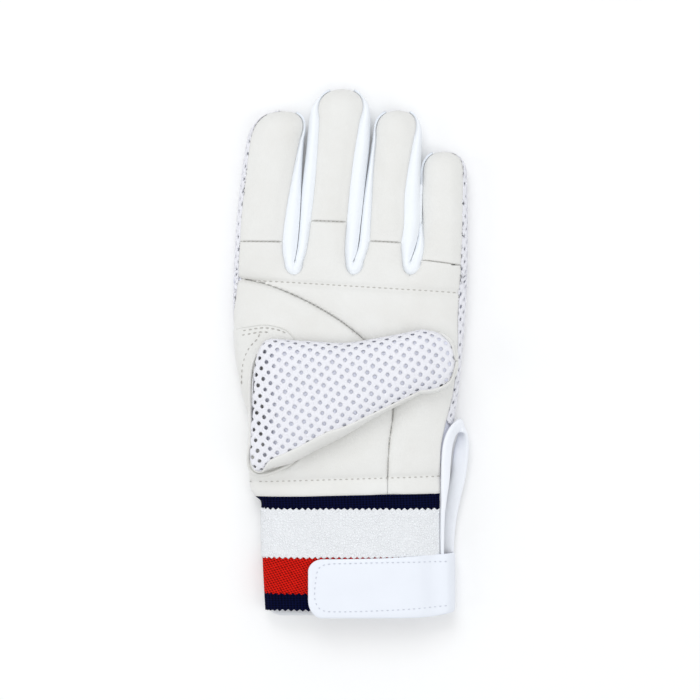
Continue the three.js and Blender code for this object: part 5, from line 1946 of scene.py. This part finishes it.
    def profile(self, width: Array, thickness: Array, sharp: float = 5.0) -> Array:
        """Returns a rounded flat section: a superellipse, wide across and thin outwards."""
        angle = np.linspace(0, 2 * np.pi, 40, endpoint=False)
        cos, sin = np.cos(angle), np.sin(angle)
        side = np.sign(cos) * np.abs(cos) ** (2 / sharp)
        out = np.sign(sin) * np.abs(sin) ** (2 / 2.4)
        return np.stack([width[:, None] / 2 * side, thickness[:, None] / 2 * out], -1)

    def slit_tape(self, finish: Any) -> Any:
        """Makes the tape round the slit: a flat section carried along its middle line.

        Args:
            finish: the tape's cloth.

        Returns:
            The piece.
        """
        rows = spline(self.tape, 170)
        middle, width, turn = rows[:, :3], rows[:, 3], np.radians(rows[:, 4])
        along = unit(np.gradient(middle, axis=0))
        facing = np.stack([np.sin(turn), 0 * turn, np.cos(turn)], -1)
        across = unit(np.cross(along, facing))
        out = np.cross(across, along)
        end = np.arange(len(rows)) / (len(rows) - 1)
        thick = self.tape_thickness * np.sqrt(np.clip(np.minimum(end, 1 - end) * 90, 0.0, 1))
        flat = self.profile(width, thick, 3.2)
        ring = middle[:, None] + flat[..., :1] * across[:, None] + flat[..., 1:] * out[:, None]
        return settle(Surface().rings(ring[None]).build("slit_binding", finish), "slit_tape")

    def lying(self, x: Array) -> Array:
        """Returns the height of the strap's lower face where it lies on the elastic."""
        y = np.full_like(x, self.strap_y)
        level = FORM.top(np.full_like(x, 40.0), y)
        over = FORM.top(np.minimum(x, 40), y)
        return mix(level, over, smoothstep(0, 12, 42 - x)) + self.strap_gap

    def strap_route(self) -> tuple[Array, Array]:
        """The strap's way: from its tail under the wrist, round the slit side, over the elastic.

        Returns:
            The middle of each section as x and z, and the direction that its face points.
        """
        thick = self.strap_thickness
        turn = (float(self.lying(np.array(42.0))) + thick) / 2
        angle = np.radians(np.linspace(-88, 82, 60))
        bend = np.stack([42.3 + 4.5 * np.cos(angle), turn + (turn - thick / 2) * np.sin(angle)], -1)
        tail = np.stack([np.linspace(6, 42.5, 40), np.full(40, thick / 2)], -1)
        closing = self.strap_end + 6.9 * np.linspace(1, 0, 46)[1:] ** 1.6
        x = np.concatenate([np.linspace(41.5, self.strap_end + 7, 90), closing])
        route = np.concatenate([tail, bend, np.stack([x, self.lying(x) + thick / 2], -1)])
        along = unit(np.gradient(route, axis=0))
        return route, np.stack([along[:, 1], -along[:, 0]], -1)

    def strap(self, finish: Any) -> Any:
        """Makes the strap, with rounded corners at its free end.

        Args:
            finish: the strap's face.

        Returns:
            The piece.
        """
        route, facing = self.strap_route()
        x = route[:, 0]
        high, low = Curve(self.edge_x, self.strap_upper)(x), Curve(self.edge_x, self.strap_lower)(x)
        closing = (route[:, 1] > 9) & (x < self.strap_end + self.strap_radius)
        share = np.where(closing, np.clip((x - self.strap_end) / self.strap_radius, 0, 1), 1)
        cut = (1 - quarter(share)) * np.array([[5.6], [8.2]])
        high, low = high - cut[0], low + cut[1]
        width = high - low
        number = np.arange(len(x))
        ends = np.minimum(number / 4, np.where(closing, np.clip((x - self.strap_end) / 0.7, 0, 1), 1))
        thick = self.strap_thickness * quarter(np.clip(ends, 0, 1))
        flat = self.profile(width, thick, 9)
        middle = np.stack([x, (high + low) / 2, route[:, 1]], -1)
        out = np.stack([facing[:, 0], 0 * x, facing[:, 1]], -1)
        across = np.array([0.0, 1.0, 0.0])
        ring = middle[:, None] + flat[..., :1] * across + flat[..., 1:] * out[:, None]
        return settle(Surface().rings(ring[None]).build("closing_strap", finish), "wrist_strap")

    def strap_face(self, x: Array, _: Array) -> Array:
        """Returns the height of the strap's upper face, which is the same all over its width."""
        drop = 2.0 * np.clip((x - 42.5) / 4, 0, 1) ** 2
        return self.lying(x) + self.strap_thickness - drop


@dataclass
class Sewing:
    """Rows of stitches, each a short thread that dips into the cloth at both ends."""

    pitch: float = 2.6
    length: float = 1.75
    size: float = 0.26
    rise: float = 0.3

    def row(
        self, surface: Surface, line: Sequence[tuple[float, float]], height: Callable[..., Array],
    ) -> None:
        """Adds one row.

        Args:
            surface: what it is added to.
            line: the row in plan.
            height: the height of the cloth at a place.
        """
        fine = spline([(x, y, 0.0) for x, y in line], 400)[:, :2]
        run = lengths(fine)
        count = max(1, int(run[-1] / self.pitch))
        start = (run[-1] - count * self.pitch) / 2 + self.pitch / 2
        share = np.linspace(-1, 1, 7)
        at = start + np.arange(count)[:, None] * self.pitch + share[None] * self.length / 2
        x, y = np.interp(at, run, fine[:, 0]), np.interp(at, run, fine[:, 1])
        z = height(x, y)
        slope_x = (height(x + 0.4, y) - height(x - 0.4, y)) / 0.8
        slope_y = (height(x, y + 0.4) - height(x, y - 0.4)) / 0.8
        up = unit(np.stack([-slope_x, -slope_y, np.ones_like(x)], -1))
        middle = np.stack([x, y, z], -1) + up * (self.rise * (1 - share**2) - 0.12)[None, :, None]
        across = unit(np.cross(up, middle[:, -1:] - middle[:, :1]))
        angle = np.linspace(0, 2 * np.pi, 8, endpoint=False)
        girth = self.size * np.sqrt(1 - (0.97 * share) ** 2)
        ring = across[:, :, None] * np.cos(angle)[None, None, :, None] * 1.15
        ring = ring + up[:, :, None] * np.sin(angle)[None, None, :, None]
        surface.rings(middle[:, :, None] + ring * girth[None, :, None, None])


PALM = Palm()


@dataclass
class Stitches:
    """Every row of stitches that shows."""

    wrist: Wrist
    patch: Patch
    sewing: Sewing = field(default_factory=Sewing)

    def leather(self, finish: Any) -> Any:
        """Makes the rows on the palm and the patch.

        Args:
            finish: the thread.

        Returns:
            The piece.
        """
        surface = Surface()
        for sewn, left, right in ((FORM.knuckle, -46.5, 49.5), (FORM.lower, -42.5, 41.5)):
            line = [(x, FORM.across(sewn, x)) for x in (left, right)]
            self.sewing.row(surface, line, PALM.height)
        self.sewing.row(surface, ((19.2, -25.0), (18.4, -33), (17.4, -43), (16.8, -54.5)), PALM.height)
        close = Sewing(1.9, 1.15, 0.2, 0.16)
        for finger in FINGERS:
            left, right = (finger.pad_side(side, finger.seam[side > 0]) for side in (-1, 1))
            x = np.linspace(left + 0.9, right - 0.9, 6)
            seam = list(zip(x.tolist(), finger.seam_at(x).tolist()))
            close.row(surface, seam, lambda x, y, own=finger: FORM.top(x, y, own) + 0.02)
        lift = self.patch.rise

        def on_patch(x: Array, y: Array) -> Array:
            """Returns the height of the patch."""
            return FORM.top(x, y) + lift + 0.3 * PALM.relief(x, y)

        xs = np.linspace(-50.0, -28.2, 9)
        rim = [(x, float(self.patch.edge(x)) - 1.3) for x in xs]
        self.sewing.row(surface, rim, on_patch)
        self.sewing.row(surface, [(x, y - 1.9) for x, y in rim if x < -36], on_patch)
        self.sewing.row(
            surface, ((-40.6, 9.6), (-42.1, 6.5), (-45.5, 2.8), (-47.9, -2.2), (-49.2, -8.6), (-49.5, -15)),
            on_patch,
        )
        return settle(surface.build("leather_stitches", finish), [])

    def strap(self, finish: Any) -> Any:
        """Makes the row round the strap's free end.

        Args:
            finish: the thread.

        Returns:
            The piece.
        """
        surface = Surface()
        w = self.wrist
        thin = Sewing(2.4, 1.2, 0.2, 0.2)
        thin.row(surface, w.strap_seam, w.strap_face)
        return settle(surface.build("strap_stitches", finish), [])


@dataclass(frozen=True)
class Studio:
    """The plain pale floor, the soft lights and the camera straight above."""

    lens: float = 150.0
    sensor: float = 36.0
    clip_end: float = 20.0
    focus_height: float = 7.0
    half: float = 3.0
    floor_level: float = -0.0003
    lamps: tuple[tuple[str, tuple[float, float, float], float, float], ...] = (
        ("key_light", (-0.25, 0.95, 1.25), 0.8, 5.2),
        ("top_light", (0.1, -0.15, 1.7), 1.6, 6.6),
        ("side_light", (0.9, -0.3, 0.9), 0.8, 1.7),
        ("fill_light", (-1.1, -0.1, 0.7), 0.8, 2.2),
    )
    sky: tuple[float, float, float] = (0.96, 0.98, 1.0)
    sky_strength: float = 0.62

    def floor(self) -> None:
        """Makes the floor, a wide sheet of pale matt paper."""
        mesh = bpy.data.meshes.new("floor")
        corners = ((-1, -1), (1, -1), (1, 1), (-1, 1))
        points = [(self.half * x, self.half * y, self.floor_level) for x, y in corners]
        mesh.from_pydata(points, [], [(0, 1, 2, 3)])
        made = placed("floor", mesh)
        maker = Maker("studio_paper", 0.9)
        fibre = maker.noise(maker.place(), 0.4, 2)
        colour = maker.blend(fibre, (0.92, 0.92, 0.92), (0.93, 0.93, 0.93))
        maker.shader.inputs["Emission Color"].default_value = (1, 1, 1, 1)
        maker.shader.inputs["Emission Strength"].default_value = 0.05
        mesh.materials.append(maker.finish(colour, fibre, 0.02, 0.02))

    def light(self, name: str, place: tuple[float, float, float], size: float, power: float) -> None:
        """Adds one square soft light that faces the glove.

        Args:
            name: its name.
            place: where it stands, in metres.
            size: its side, in metres.
            power: its power in watts.
        """
        lamp = bpy.data.lights.new(name, "AREA")
        lamp.size, lamp.energy = size, power
        made = placed(name, lamp)
        made.location = place
        made.rotation_euler = (-Vector(place)).to_track_quat("-Z", "Y").to_euler()

    def build(self) -> None:
        """Sets the floor, lights, surroundings and camera."""
        self.floor()
        for lamp in self.lamps:
            self.light(*lamp)
        world = bpy.data.worlds.new("studio")
        world.use_nodes = True
        background = world.node_tree.nodes["Background"]
        background.inputs[0].default_value = (*self.sky, 1)
        background.inputs[1].default_value = self.sky_strength
        scene = bpy.context.scene
        scene.world = world
        scene.view_settings.view_transform = "Standard"
        camera = bpy.data.cameras.new("camera")
        camera.lens, camera.sensor_width = self.lens, self.sensor
        camera.clip_end = self.clip_end
        scene.camera = placed("camera", camera)
        distance = self.lens * PHOTO_WIDTH / self.sensor
        place = (*PHOTO_CENTRE, distance + self.focus_height)
        scene.camera.location = [each * MM for each in place]


def main() -> None:
    """Builds the glove piece by piece, then the studio."""
    logging.basicConfig(level=logging.INFO, format="%(name)s %(message)s")
    leather = Leather().make()
    strip_cloth = SmoothCloth("side_strip_cloth", (246, 250, 255)).make()
    knit = OpenKnit().make()
    # The thread's grey, darker than the leather, is partly the light-grey thread and partly painted shade
    # of the stitch holes and grooves.
    thread = Thread("cream_thread", (204, 202, 196)).make()
    strap_thread = Thread("strap_thread", (222, 227, 238)).make()
    PALM.build(leather)
    FingerFronts().build(leather)
    SideStrips().build(strip_cloth, PALM)
    back = Back()
    back.build(knit)
    lining = SmoothCloth("lining_cloth", (236, 238, 250)).make()
    back.lining(lining)
    thumb = Thumb()
    thumb.mesh(knit)
    thumb.backing(lining)
    thumb.leather(leather)
    thumb.welt(leather)
    patch = Patch()
    patch.build(leather)
    wrist = Wrist()
    navy = Knit("navy_knit", (10, 15, 52), 0.05).make()
    wrist.elastic({
        Zone.LOWER_NAVY: navy,
        Zone.RED: Knit("red_knit", (240, 34, 24), 0.65).make(),
        Zone.TOWEL: Towelling().make(),
        Zone.UPPER_NAVY: navy,
    })
    wrist.panel(SmoothCloth("wrist_cloth", (240, 242, 246)).make())
    wrist.slit_tape(SmoothCloth("binding_cloth", (246, 249, 255), 0.4, 0.5).make())
    wrist.strap(Satin().make())
    stitches = Stitches(wrist, patch)
    stitches.leather(thread)
    stitches.strap(strap_thread)
    Studio().build()


if __name__ == "__main__":
    main()
